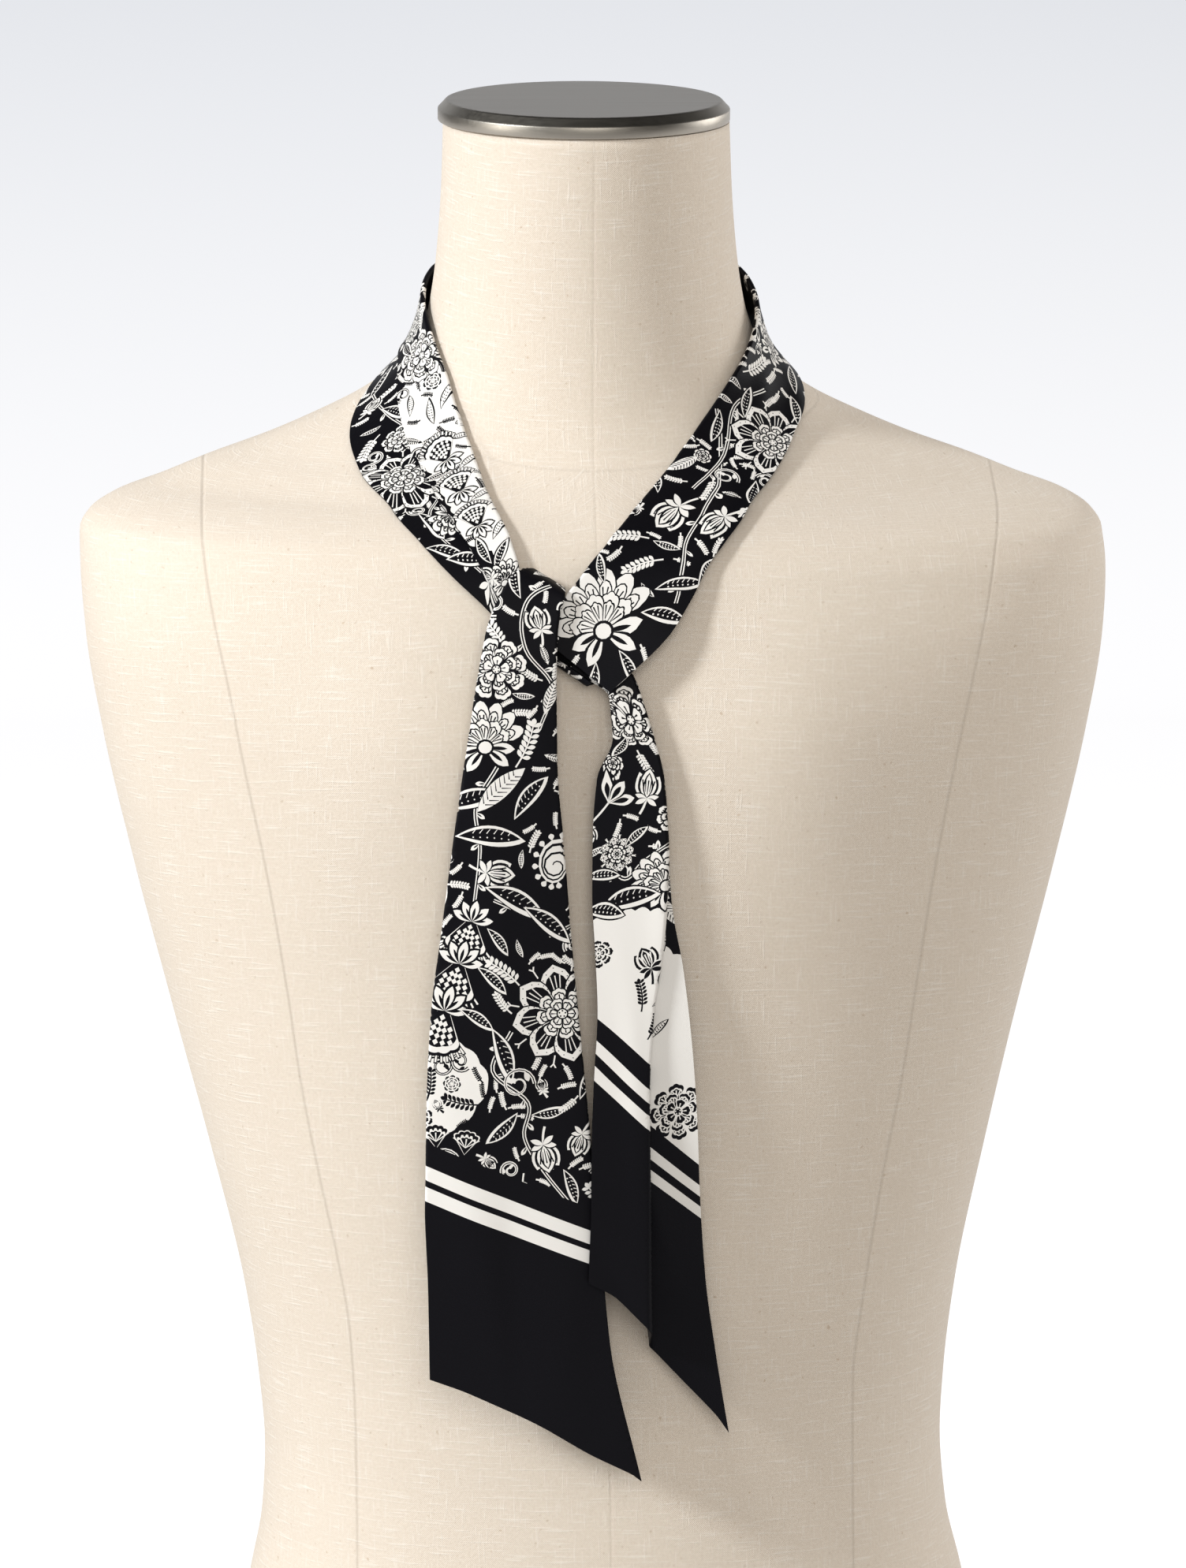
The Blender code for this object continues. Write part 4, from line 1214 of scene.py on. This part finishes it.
tail_left_sheet = Sheet(TAIL_LEFT, hanging_rows, tucked_section, 0.0, 362.0, 2.0, (
    (-6.0, 150.0, 84.0, 150.0, 14.0, 0.9), (12.0, 230.0, 96.0, 120.0, 16.0, -0.8),
    (-14.0, 290.0, 80.0, 120.0, 18.0, 0.9), (4.0, 60.0, 70.0, 60.0, 12.0, 0.7),
    (18.0, 330.0, 100.0, 80.0, 18.0, 0.8), (-3.0, 320.0, 92.0, 130.0, 12.0, -0.7),
), LEFT_HEM)
tail_left_print = [LEFT_GROUND] + printed(
    11, ((-38.0, 38.0), (4.0, 290.0)), LEFT_MOTIFS, LEFT_VINES, grounds=[LEFT_GROUND])
tail_left_print += end_stripes(tail_left_sheet, 0.46, 73.0, 6.0, 8.7)
tail_left = make_cloth("scarf_end_left", tail_left_sheet, tail_left_print, [], TWILL)
print("Left end:", len(tail_left.data.polygons), "triangles")

# %% [markdown]
# ### The right end
# It leaves the knot below and is laid in one pleat, which opens toward the hem. The pleat hides
# part of the print, so the stripes jump where they cross it.
# %% Right end
RIGHT_MOTIFS = (
    ("peony", -14, 33, 11, -20), ("sprig", -14, 51, 5, 165), ("leaf", -22, 44, 7, 200),
    ("bud", -28, 66, 9, 40), ("tulip", -12, 63, 10, 10), ("daisy", -25, 86, 7, 0),
    ("leaf", -17, 80, 6, 40), ("leaf", -31, 94, 7, 80), ("palmette", -8, 98, 12, -40),
    ("leaf", -20, 104, 12, 75), ("leaf", -30, 106, 8, 95), ("feather", 33, 118, 10, 150),
    ("palmette", 28, 104, 11, 20), ("feather", 27, 126, 9, 170),
    ("tulip", -13, 131, 9.5, -20, 1), ("sprig", -16, 144, 6, 10, 1), ("peony", -33, 122, 6, 0, 1),
    ("leaf", -8, 147, 5, 60, 1), ("leaf", 22, 165, 5, 40, 1), ("sprig", -12, 158, 5, 30, 1),
    ("peony", 27, 200, 12, 0, 1), ("curl", -6, 139, 5, 0, 1),
)
RIGHT_VINES = (((-30.0, 88.0), (-22.0, 96.0), (-14.0, 90.0), (-4.0, 84.0)),)
RIGHT_GROUND = lobed((
    (-48.0, 109.0), (-30.0, 108.0), (-18.0, 108.0), (-6.0, 111.0), (12.0, 124.0),
    (26.0, 133.0), (36.0, 142.0), (48.0, 150.0), (48.0, 320.0), (-48.0, 240.0)))
RIGHT_HEM = Table("share rise", (
    (0.0, 0.0), (0.2, 5.5), (0.42, 5.0), (0.7, 3.6), (0.92, 2.6), (1.0, 0.0)))
tail_right_sheet = Sheet(TAIL_RIGHT, hanging_rows, pleated_section, 0.0, 276.0, 2.0, (
    (-16.0, 200.0, 84.0, 120.0, 10.0, 0.8), (-6.0, 90.0, 92.0, 90.0, 9.0, 0.7),
    (14.0, 235.0, 76.0, 90.0, 12.0, 0.9), (-20.0, 262.0, 70.0, 50.0, 12.0, -0.8),
), RIGHT_HEM)
tail_right_stripes = end_stripes(tail_right_sheet, 1.08, 77.2, 5.6, 10.4)
tail_right_print = [RIGHT_GROUND] + printed(
    12, ((-38.0, 38.0), (4.0, 108.0)), RIGHT_MOTIFS, RIGHT_VINES)
tail_right_print += tail_right_stripes
tail_right = make_cloth(
    "scarf_end_right", tail_right_sheet, tail_right_print, tail_right_stripes, TWILL)
print("Right end:", len(tail_right.data.polygons), "triangles")

# %% [markdown]
# ### Round the neck
# The strip is folded lengthwise. On the wearer's right its upper layer is narrow and has a
# white ground with a row of scales, above the black of the lower layer. On the other side the
# upper layer covers almost all. The three stretches meet end to end, as in the CAD part.
# %% Left neck stretch
UPPER_MOTIFS = (
    ("palmette", 8, 206, 9, 0), ("daisy", 12, 194, 9, 0), ("peony", 9, 171, 13, 20),
    ("leaf", 17, 182, 8, -30), ("feather", 3, 190, 8, 20), ("leaf", 4, 222, 9, 10),
    ("peony", 12, 232, 10, 40), ("leaf", 11, 142, 7, -10, 1), ("leaf", 2, 146, 7, 30, 1),
    ("scale", 12, 120, 7.6, 170), ("scale", 10.5, 98, 7.6, 175),
    ("scale", 9.5, 76, 7.2, 180), ("leaf", 3, 88, 5.5, 60, 1), ("leaf", 2.5, 66, 6, 40, 1),
    ("leaf", 3, 110, 5.5, 50, 1), ("leaf", 12, 60, 7, -20), ("leaf", 6, 54, 7, 30),
    ("palmette", 8, 44, 8, 10), ("tulip", 14, 48, 7, -40),
)
LOWER_MOTIFS = (
    ("tulip", -40, 171, 8, 40), ("leaf", -29, 158, 9, 130), ("leaf", -36, 188, 8, 20),
    ("daisy", -31, 112, 18.5, 0), ("leaf", -27, 80, 9, 150), ("palmette", -18, 80, 9, 200),
    ("leaf", -26, 64, 9, 120), ("leaf", -19, 58, 9, 100), ("tulip", -14, 46, 9, 160),
    ("peony", -28, 140, 8, 10), ("leaf", -16, 124, 8, 80),
)
LOWER_VINES = (
    ((-40.0, 186.0), (-34.0, 164.0), (-26.0, 148.0), (-18.0, 134.0)),
    ((-20.0, 96.0), (-26.0, 84.0), (-24.0, 68.0), (-16.0, 52.0)),
)
UPPER_GROUND = lobed((
    (-0.6, 44.0), (6.0, 50.0), (9.0, 58.0), (17.5, 68.0), (16.5, 88.0), (19.0, 112.0),
    (24.0, 130.0), (26.0, 158.0), (17.0, 166.0), (8.0, 160.0), (-0.6, 163.0)), 5.0, 1.0)
band_left_sheet = Sheet(NECK_LOOP, neck_rows, folded_section, 0.0, 258.0, 2.0, (
    (13.0, 160.0, 66.0, 60.0, 6.0, 1.3), (19.0, 146.0, 58.0, 46.0, 6.0, 1.1),
    (8.0, 120.0, 78.0, 60.0, 7.0, 0.8), (17.0, 116.0, 84.0, 50.0, 6.0, -0.6),
    (21.0, 186.0, 60.0, 40.0, 7.0, 1.0), (6.0, 84.0, 70.0, 50.0, 6.0, 0.7),
))
upper_print = [UPPER_GROUND] + printed(
    13, ((-1.0, 38.0), (20.0, 258.0)), UPPER_MOTIFS, (), SEEN_FROM_UNDER, [UPPER_GROUND], 5.0)
lower_print = printed(
    14, ((-46.0, 2.0), (20.0, 258.0)), LOWER_MOTIFS, LOWER_VINES, UP_IS_ONWARD, width=1.4)
band_left = make_cloth("scarf_neck_left", band_left_sheet, upper_print, lower_print, TWILL)
print("Left neck stretch:", len(band_left.data.polygons), "triangles")

# %% [markdown]
# The other two stretches carry the same kind of print on black.
# %% Right and back neck stretches
BAND_RIGHT_MOTIFS = (
    ("daisy", 30, 543, 19, 0), ("sprig", 8, 515, 8, 40), ("leaf", 22, 480, 9, 20),
    ("leaf", 30, 502, 9, -20), ("palmette", 14, 494, 10, 0), ("leaf", 12, 532, 8, -30),
    ("leaf", 6, 552, 8, 150), ("tulip", 14, 602, 13, 190), ("tulip", 32, 597, 10.5, 200),
    ("sprig", 6, 622, 7, 250), ("sprig", 17, 629, 7, 230), ("palmette", 16, 655, 19, -60),
    ("leaf", 34, 630, 9, 40), ("leaf", 37, 642, 9, 60), ("leaf", 40, 618, 9, -10),
    ("leaf", 35, 576, 9, 160), ("feather", 4, 578, 8, 200), ("leaf", 38, 662, 8, 100),
    ("leaf", 5, 640, 6, -60), ("curl", 22, 574, 6, 0), ("leaf", 30, 676, 8, 140),
)
BAND_RIGHT_VINES = (
    ((2.0, 545.0), (11.0, 556.0), (19.0, 573.0), (24.0, 596.0), (27.0, 616.0), (37.0, 636.0)),
    ((16.0, 520.0), (8.0, 538.0), (16.0, 562.0), (14.0, 588.0)),
)
band_right_sheet = Sheet(NECK_LOOP, neck_rows, folded_section, 432.0, 696.0, 2.0, (
    (20.0, 545.0, 80.0, 110.0, 10.0, 0.8), (32.0, 600.0, 86.0, 90.0, 10.0, 0.8),
    (12.0, 622.0, 98.0, 80.0, 8.0, -0.6), (34.0, 515.0, 74.0, 60.0, 9.0, 0.9),
))
right_print = printed(15, ((-2.0, 46.0), (430.0, 690.0)), BAND_RIGHT_MOTIFS, BAND_RIGHT_VINES)
band_right = make_cloth("scarf_neck_right", band_right_sheet, right_print, [], TWILL)
print("Right neck stretch:", len(band_right.data.polygons), "triangles")

BACK_MOTIFS = (
    ("peony", 16, 280, 13, 20), ("daisy", 24, 312, 15, 0), ("palmette", 14, 344, 14, 90),
    ("daisy", 26, 376, 15, 10), ("peony", 14, 404, 13, 0), ("tulip", 30, 420, 10, 60),
)
band_back_sheet = Sheet(NECK_LOOP, neck_rows, folded_section, 258.0, 432.0, 2.5, (
    (20.0, 330.0, 88.0, 120.0, 10.0, 0.7),))
back_print = printed(16, ((-2.0, 44.0), (256.0, 434.0)), BACK_MOTIFS)
band_back = make_cloth("scarf_neck_back", band_back_sheet, back_print, [], TWILL)
print("Back of the neck:", len(band_back.data.polygons), "triangles")

# %% [markdown]
# ### Behind the knot
# A short stretch, gathered narrow, joins the right neck stretch to the left end behind the
# knot. Only its lower edge shows.
# %% Wrap
wrap_sheet = Sheet(WRAP, hanging_rows, plain_section, 0.0, 48.0, 1.5)
wrap_print = fill_gaps(41, ((-20.0, 20.0), (0.0, 50.0)), [])
wrap = make_cloth("scarf_wrap", wrap_sheet, wrap_print, wrap_print, TWILL)
STRETCHES = (
    (tail_left, "tail_left", 0.362, "hung", None),
    (tail_right, "tail_right", 0.276, "hung", None),
    (band_left, "neck_band_left", 0.258, "folded", None),
    (band_right, "neck_band_right", 0.264, "folded", None),
    (band_back, "neck_band_back", 0.174, "folded", None),
    (wrap, "knot_wrap", 0.048, "gathered", 0.0012),
)
for piece, node, *_ in STRETCHES:
    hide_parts(node)
    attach(piece, "root")
print("Wrap:", len(wrap.data.polygons), "triangles")

# %% [markdown]
# ## The form's linen cover
# The form is a smooth padded torso. Its cover is a dense net of rings on the same sections as
# the CAD solid, closed by a flat base. The sewn seams are long smooth lines over it. Each is
# kept as a distance, in metres, from every point of the net to the seam, so the material can
# draw a thin groove there wherever the net's own edges run. Above the neck seam the cloth's
# upward coordinate is counted from a ring of its own, so the neck's threads do not slant.
# %% Seam tables
SEAM_FRONT = Table("height x", (
    (0.0, 4.0), (150.0, 3.8), (300.0, 1.6), (480.0, -1.0), (560.0, -2.2), (NECK_TOP, -2.0)))
SEAM_LEFT = Table("height x", (
    (0.0, -105.0), (144.0, -101.4), (192.0, -101.8), (231.0, -103.6), (264.0, -108.6),
    (295.0, -115.0), (338.0, -123.0), (378.0, -128.4), (426.0, -136.0), (472.0, -145.2),
    (508.0, -152.0), (526.0, -156.0), (552.0, -160.6), (569.0, -162.5), (600.0, -164.0)))
SEAM_RIGHT = Table("height x", (
    (0.0, 109.0), (161.0, 106.0), (210.0, 105.7), (248.0, 109.8), (297.0, 116.8),
    (344.0, 125.2), (382.0, 130.2), (424.0, 136.0), (477.0, 145.4), (498.0, 149.8),
    (516.0, 153.8), (538.0, 158.7), (559.0, 162.6), (579.0, 166.9), (600.0, 168.0)))
SEAM_NECK = Table("angle height", (
    (0.0, 591.2), (20.0, 592.5), (40.0, 597.0), (65.0, 606.0), (90.0, 616.0), (130.0, 632.0),
    (180.0, 640.0)))
NECK_GRAIN = 640.0
ROUND = 288
BASE_EDGE = 4.0
BASE_STEPS = 6
FORM_SPANS = ((4.0, 540.0, 130), (540.0, 566.0, 13), (566.0, 630.0, 44), (630.0, NECK_TOP, 26))


def cover_ring(height, inset=0.0):
    """Ring of places round the cover at a section's height, from the middle of the back."""
    section = FORM.at(np.full(ROUND, height))
    turn = 2.0 * math.pi * np.arange(ROUND) / ROUND + 0.5 * math.pi
    wide, deep = np.cos(turn), np.sin(turn)
    power = 2.0 / section["squareness"]
    x = np.sign(wide) * abs(wide) ** power * (section["half_width"] - inset)
    x = x + section["sideways"]
    depth = half_depth(section, x, section["middle"] + np.where(deep < 0.0, -1.0, 1.0)) - inset
    y = np.sign(deep) * abs(deep) ** power * depth
    z = height + y * np.tan(np.radians(section["tilt"]))
    return np.stack([x, y + section["middle"], z], axis=-1)


def form_rings():
    rings = []
    for i in range(BASE_STEPS):
        bend = 0.5 * math.pi * i / BASE_STEPS
        inset = BASE_EDGE * (1.0 - math.sin(bend))
        rings.append(cover_ring(BASE_EDGE * (1.0 - math.cos(bend)), inset))
    for low, high, count in FORM_SPANS:
        rings += [cover_ring(low + (high - low) * i / count) for i in range(count)]
    return np.array(rings + [cover_ring(NECK_TOP)])


def seam_distance(place, normal, level, axis, slope):
    """Distance along the cover to where a level is nought, the level rising along an axis."""
    rise = np.zeros_like(place)
    rise[..., axis] = 1.0
    rise[..., 2 if axis == 0 else 0] = -slope
    rise = rise - normal * (rise * normal).sum(axis=-1, keepdims=True)
    return level / np.maximum(np.linalg.norm(rise, axis=-1), 0.25)


def table_slope(table, key):
    column = table.names[1]
    return (table.at(key + 1.0)[column] - table.at(key - 1.0)[column]) / 2.0


def ring_faces(rings, sides):
    """Faces between stacked rings, with one face over each end."""
    faces = []
    for low in range(0, (rings - 1) * sides, sides):
        for i in range(sides):
            j = (i + 1) % sides
            faces.append((low + i, low + j, low + sides + j, low + sides + i))
    faces.append(tuple(reversed(range(sides))))
    faces.append(tuple(range((rings - 1) * sides, rings * sides)))
    return faces


def make_form(material):
    """The cover as one closed mesh, with its cloth coordinates and its seam distances."""
    rings = form_rings()
    count = len(rings)
    closed = np.concatenate([rings, rings[:, :1]], axis=1)
    around = np.cumsum(np.linalg.norm(np.diff(closed, axis=1), axis=-1), axis=1)
    around = np.concatenate([np.zeros((count, 1)), around], axis=1)
    around = around - around[:, -1:] / 2.0
    rise = np.cumsum(np.linalg.norm(np.diff(closed, axis=0), axis=-1), axis=0)
    rise = np.concatenate([np.zeros((1, ROUND + 1)), rise], axis=0)
    normal = crossed(np.gradient(closed, axis=1), np.gradient(closed, axis=0))
    points = rings.reshape(-1, 3)
    faces, corners = ring_faces(count, ROUND), []
    for r in range(count - 1):
        for i in range(ROUND):
            corners += [(r, i), (r, i + 1), (r + 1, i + 1), (r + 1, i)]
    corners += [(0, i) for i in reversed(range(ROUND))] + [(count - 1, i) for i in range(ROUND)]
    mesh = bpy.data.meshes.new("form_cover")
    mesh.from_pydata((points * MM).tolist(), [], faces)
    mesh.materials.append(material)
    corners = np.array(corners)
    place, out = closed[:, :-1], normal[:, :-1]
    z = place[..., 2]
    angle = np.degrees(np.arctan2(place[..., 0], -place[..., 1]))
    above = (z > SEAM_NECK.at(abs(angle))["height"])[:-1].ravel()
    above = np.concatenate([np.repeat(above, 4), np.zeros(ROUND, bool), np.ones(ROUND, bool)])
    low_ring = int(np.argmax(rings[:, ROUND // 2, 2] > NECK_GRAIN))
    rise = np.stack([rise, rise - rise[low_ring]])[above.astype(int), corners[:, 0], corners[:, 1]]
    flat = np.stack([around[corners[:, 0], corners[:, 1]], rise], axis=-1) * MM
    mesh.uv_layers.new(name="flat").data.foreach_set("uv", flat.ravel())
    for name, table in (("front", SEAM_FRONT), ("left", SEAM_LEFT), ("right", SEAM_RIGHT)):
        level = place[..., 0] - table.at(z)["x"]
        distance = seam_distance(place, out, level, 0, table_slope(table, z))
        keep_attribute(mesh, "seam_" + name, distance)
    level = z - SEAM_NECK.at(abs(angle))["height"]
    keep_attribute(mesh, "seam_neck", seam_distance(place, out, level, 2, 0.0))
    mesh.shade_smooth()
    sharp_ends(mesh, faces)
    return stand("form_cover", mesh)


def keep_attribute(mesh, name, values):
    layer = mesh.attributes.new(name, "FLOAT", "POINT")
    layer.data.foreach_set("value", (values.ravel() * MM).astype(np.float32))


def sharp_ends(mesh, faces):
    """The base and the top stay flat-shaded."""
    smooth = np.ones(len(faces), bool)
    smooth[-2:] = False
    mesh.polygons.foreach_set("use_smooth", smooth)


# %% [markdown]
# ### Linen
# Natural linen is a plain weave: threads cross over and under each other. Its yarn is uneven,
# which shows as short thick streaks both ways, and some fibres stay darker. All of that is in
# the material, from the cloth coordinates: crossed sines for the weave, stretched noise for the
# streaks, fine noise for the yarn's grain, and small cut-off noise spots for the flecks.
# %% Linen material
WEAVE = 0.00085
SEAM_WIDTH = 0.0011


def linen(name):
    base = (0.735, 0.650, 0.550)
    material, wire = new_material(name, base, 0.88, Sheen_Weight=0.08, Sheen_Roughness=0.6)
    flat = wire.node("ShaderNodeUVMap", {"uv_map": "flat"})
    x, y, _ = flat.split()
    wobble = wire.noise(flat, 160.0, 1.0)
    shift = (wobble - 0.5) * 0.0009
    warp = ((x + shift) * (2.0 * math.pi / WEAVE)).sine()
    weft = ((y + shift) * (2.0 * math.pi / WEAVE)).sine()
    weave = warp * weft

    def streaks(across, along, level):
        point = wire.node("ShaderNodeCombineXYZ", None, {0: x * across, 1: y * along})
        return ((wire.noise(point, 1.0, 2.0) - level) * 7.0).limit()

    level_slubs = streaks(60.0, 900.0, 0.55)
    upright_slubs = streaks(900.0, 70.0, 0.57)
    grain = wire.noise(flat, 720.0, 3.0)
    fine = wire.noise(flat, 1500.0, 2.0)
    spots = wire.noise(flat, 420.0, 1.0)
    flecks = ((spots - 0.70) * 9.0).limit()
    cloudy = wire.noise(flat, 14.0, 3.0)
    colour = wire.node("ShaderNodeRGB")
    colour.socket.default_value = (*base, 1.0)
    darker = (0.56, 0.465, 0.365, 1.0)
    rough = (fine - 0.5) * 0.6 + (grain - 0.5) * 1.1
    share = (0.30 + (cloudy - 0.5) * 0.25 + rough - weave * 0.12).limit()
    colour = colour.mix(darker, share * 0.7)
    slubs = (level_slubs * 0.55 + upright_slubs * 0.4).limit()
    colour = colour.mix((0.80, 0.74, 0.66, 1.0), slubs)
    colour = colour.mix((0.42, 0.30, 0.19, 1.0), flecks * 0.5)
    groove = None
    for seam, depth in (("front", 0.3), ("left", 1.0), ("right", 1.0), ("neck", 0.45)):
        away = wire.node("ShaderNodeAttribute", {"attribute_name": "seam_" + seam}, None, 2)
        dip = (1.0 - abs(away) * (1.0 / SEAM_WIDTH)).limit() * depth
        groove = dip if groove is None else groove.math("MAXIMUM", groove, dip)
    colour = colour.mix((0.40, 0.34, 0.27, 1.0), groove * 0.32)
    drive(material, "Base Color", colour)
    height = weave * 0.5 + level_slubs * 0.9 + upright_slubs * 0.8 + fine * 0.4 + grain * 1.3
    drive(material, "Normal", wire.bump(height - groove * 4.0, 0.5, 0.0002))
    return material


form_cover = make_form(linen("linen"))
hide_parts("form_body")
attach(form_cover, "root")
print("Form cover:", len(form_cover.data.polygons), "faces")

# %% [markdown]
# ## The steel cap
# A turned disc closes the neck. Its outline is one short profile, spun round the neck's tilted
# axis. The brushed finish comes from noise stretched across the top and along the band, which
# changes only the roughness and a very shallow bump.
# %% Cap
CAP_PROFILE = (
    (60.2, 0.0), (60.6, 0.12), (60.8, 0.5), (60.8, 4.6), (60.65, 5.0), (60.3, 5.3),
    (57.9, 7.9), (57.5, 8.25), (57.0, 8.45), (56.4, 8.5),
)
CAP_SIDES = 240
CAP_OFF_MIDDLE = 1.0
CAP_LIFT = 0.3


def brushed_steel(name):
    material, wire = new_material(name, (0.36, 0.33, 0.285), 0.42, Metallic=1.0)
    place = wire.node("ShaderNodeTexCoord", None, None, 3)
    x, y, z = place.split()
    point = wire.node("ShaderNodeCombineXYZ", None, {0: x * 8.0, 1: y * 900.0, 2: z * 900.0})
    noise = wire.noise(point, 1.0, 3.0)
    drive(material, "Roughness", 0.34 + noise * 0.16)
    drive(material, "Normal", wire.bump(noise, 0.12, 0.0001))
    return material


def make_cap(material):
    top = FORM.at(np.array([NECK_TOP]))
    tilt = math.radians(float(top["tilt"][0]))
    centre = (float(top["sideways"][0]) - CAP_OFF_MIDDLE, float(top["middle"][0]))
    points = []
    for reach, rise in CAP_PROFILE:
        up = rise + CAP_LIFT
        for i in range(CAP_SIDES):
            turn = 2.0 * math.pi * i / CAP_SIDES
            x, y = reach * math.cos(turn), reach * math.sin(turn)
            points.append((
                (x + centre[0]) * MM,
                (y * math.cos(tilt) - up * math.sin(tilt) + centre[1]) * MM,
                (y * math.sin(tilt) + up * math.cos(tilt) + NECK_TOP) * MM,
            ))
    faces = ring_faces(len(CAP_PROFILE), CAP_SIDES)
    mesh = bpy.data.meshes.new("neck_plate")
    mesh.from_pydata(points, [], faces)
    mesh.materials.append(material)
    mesh.shade_smooth()
    sharp_ends(mesh, faces)
    return stand("neck_plate", mesh)


cap = make_cap(brushed_steel("brushed_steel"))
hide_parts("neck_cap")
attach(cap, "root")
print("Cap:", len(cap.data.polygons), "faces")

# %% [markdown]
# ## Studio
# The form stands on a pale floor that curves up into a pale wall. Their brightness is painted
# light, a glow of their own that dims up the wall, with painted shade on the floor in front of
# the form. The key light stands high on the viewer's left, which puts the scarf's shadow down to
# the right. A small low light gives the steel band its bright patch. A wide fill in front, a rim
# light behind on the right and the pale surroundings keep the shadows open.
# %% Floor and lights
def backdrop_painted_light():
    """A pale glow of painted light, dimmer up the wall, with painted shade in front of the form.
    """
    material, wire = new_material("sweep", (0.30, 0.30, 0.305), 0.9, Specular_IOR_Level=0.0)
    place = wire.node("ShaderNodeTexCoord", None, None, 3)
    _, back, up = place.split()
    glow = wire.node("ShaderNodeRGB")
    glow.socket.default_value = (0.86, 0.86, 0.87, 1.0)
    # Painted light that dims up the wall, then painted shade on the floor in front of the form.
    glow = glow.mix((0.565, 0.585, 0.625, 1.0), (up * 1.1 + 0.12).limit())
    glow = glow.mix((0.10, 0.10, 0.10, 1.0), (-0.4 - back * 1.2).limit())
    drive(material, "Emission Color", glow)
    shader = material.node_tree.nodes["Principled BSDF"]
    shader.inputs["Emission Strength"].default_value = 1.0
    return material


BEND_STEPS = 24
BELOW_BASE = 0.0002


def make_sweep():
    """Floor and wall in one, joined by a quarter circle."""
    half, near, back, bend, top = 3.6, -3.6, 4.6, 0.9, 4.2
    line = [(near, 0.0), (back - bend, 0.0)]
    for i in range(1, BEND_STEPS + 1):
        turn = 0.5 * math.pi * i / BEND_STEPS
        line.append((back - bend + bend * math.sin(turn), bend * (1.0 - math.cos(turn))))
    line.append((back, top))
    points = [(side * half, y, z - BELOW_BASE) for y, z in line for side in (-1.0, 1.0)]
    faces = [(2 * i, 2 * i + 1, 2 * i + 3, 2 * i + 2) for i in range(len(line) - 1)]
    mesh = bpy.data.meshes.new("sweep")
    mesh.from_pydata(points, [], faces)
    mesh.shade_smooth()
    mesh.materials.append(backdrop_painted_light())
    sweep = stand("sweep", mesh)
    sweep.visible_diffuse = False
    return sweep


def area_light(name, place, aim, size, watts, colour):
    light = bpy.data.lights.new(name, "AREA")
    light.shape = "DISK"
    light.size = size
    light.energy = watts
    light.color = colour
    lamp = stand(name, light)
    lamp.location = place
    lamp.rotation_euler = (Vector(aim) - Vector(place)).to_track_quat("-Z", "Y").to_euler()
    return lamp


sweep = make_sweep()
key = area_light("key", (-2.98, -1.45, 2.18), (0.0, 0.0, 0.42), 0.62, 120.0, (0.93, 0.965, 1.0))
low = area_light("low", (-2.5, -0.95, 0.55), (0.0, 0.0, 0.6), 0.6, 13.0, (1.0, 0.97, 0.92))
fill = area_light("fill", (0.2, -3.0, 1.6), (0.0, 0.0, 0.42), 2.0, 34.0, (1.0, 0.98, 0.95))
rim = area_light("rim", (2.3, 0.9, 1.1), (0.0, 0.0, 0.45), 1.5, 30.0, (1.0, 1.0, 1.0))
world = bpy.data.worlds.new("studio")
world.use_nodes = True
world.node_tree.nodes["Background"].inputs["Color"].default_value = (1.0, 0.955, 0.90, 1.0)
world.node_tree.nodes["Background"].inputs["Strength"].default_value = 0.43
world.cycles_visibility.glossy = False
bpy.context.scene.world = world
print("Lights:", [lamp.name for lamp in (key, low, fill, rim)])

# %% [markdown]
# ## Camera
# The camera looks at the chest from a little above and a little to the viewer's left. Its
# picture is cut at the hips below and just over the cap above.
# %% Camera
TARGET = Vector((0.0, 0.0, 0.452))
DISTANCE = 2.4
AZIMUTH = math.radians(-2.2)
ELEVATION = math.radians(8.0)
VIEW_HEIGHT = 0.666
SENSOR = 36.0
camera_data = bpy.data.cameras.new("camera")
camera_data.sensor_width = SENSOR
camera_data.lens = SENSOR * DISTANCE / VIEW_HEIGHT
camera = stand("camera", camera_data)
away = Vector((
    math.sin(AZIMUTH) * math.cos(ELEVATION),
    -math.cos(AZIMUTH) * math.cos(ELEVATION),
    math.sin(ELEVATION),
))
camera.location = TARGET + DISTANCE * away
camera.rotation_euler = away.to_track_quat("Z", "Y").to_euler()
bpy.context.scene.camera = camera
bpy.context.scene.view_settings.view_transform = "Standard"
print("Camera at", [round(v, 3) for v in camera.location], "lens", round(camera_data.lens, 1))
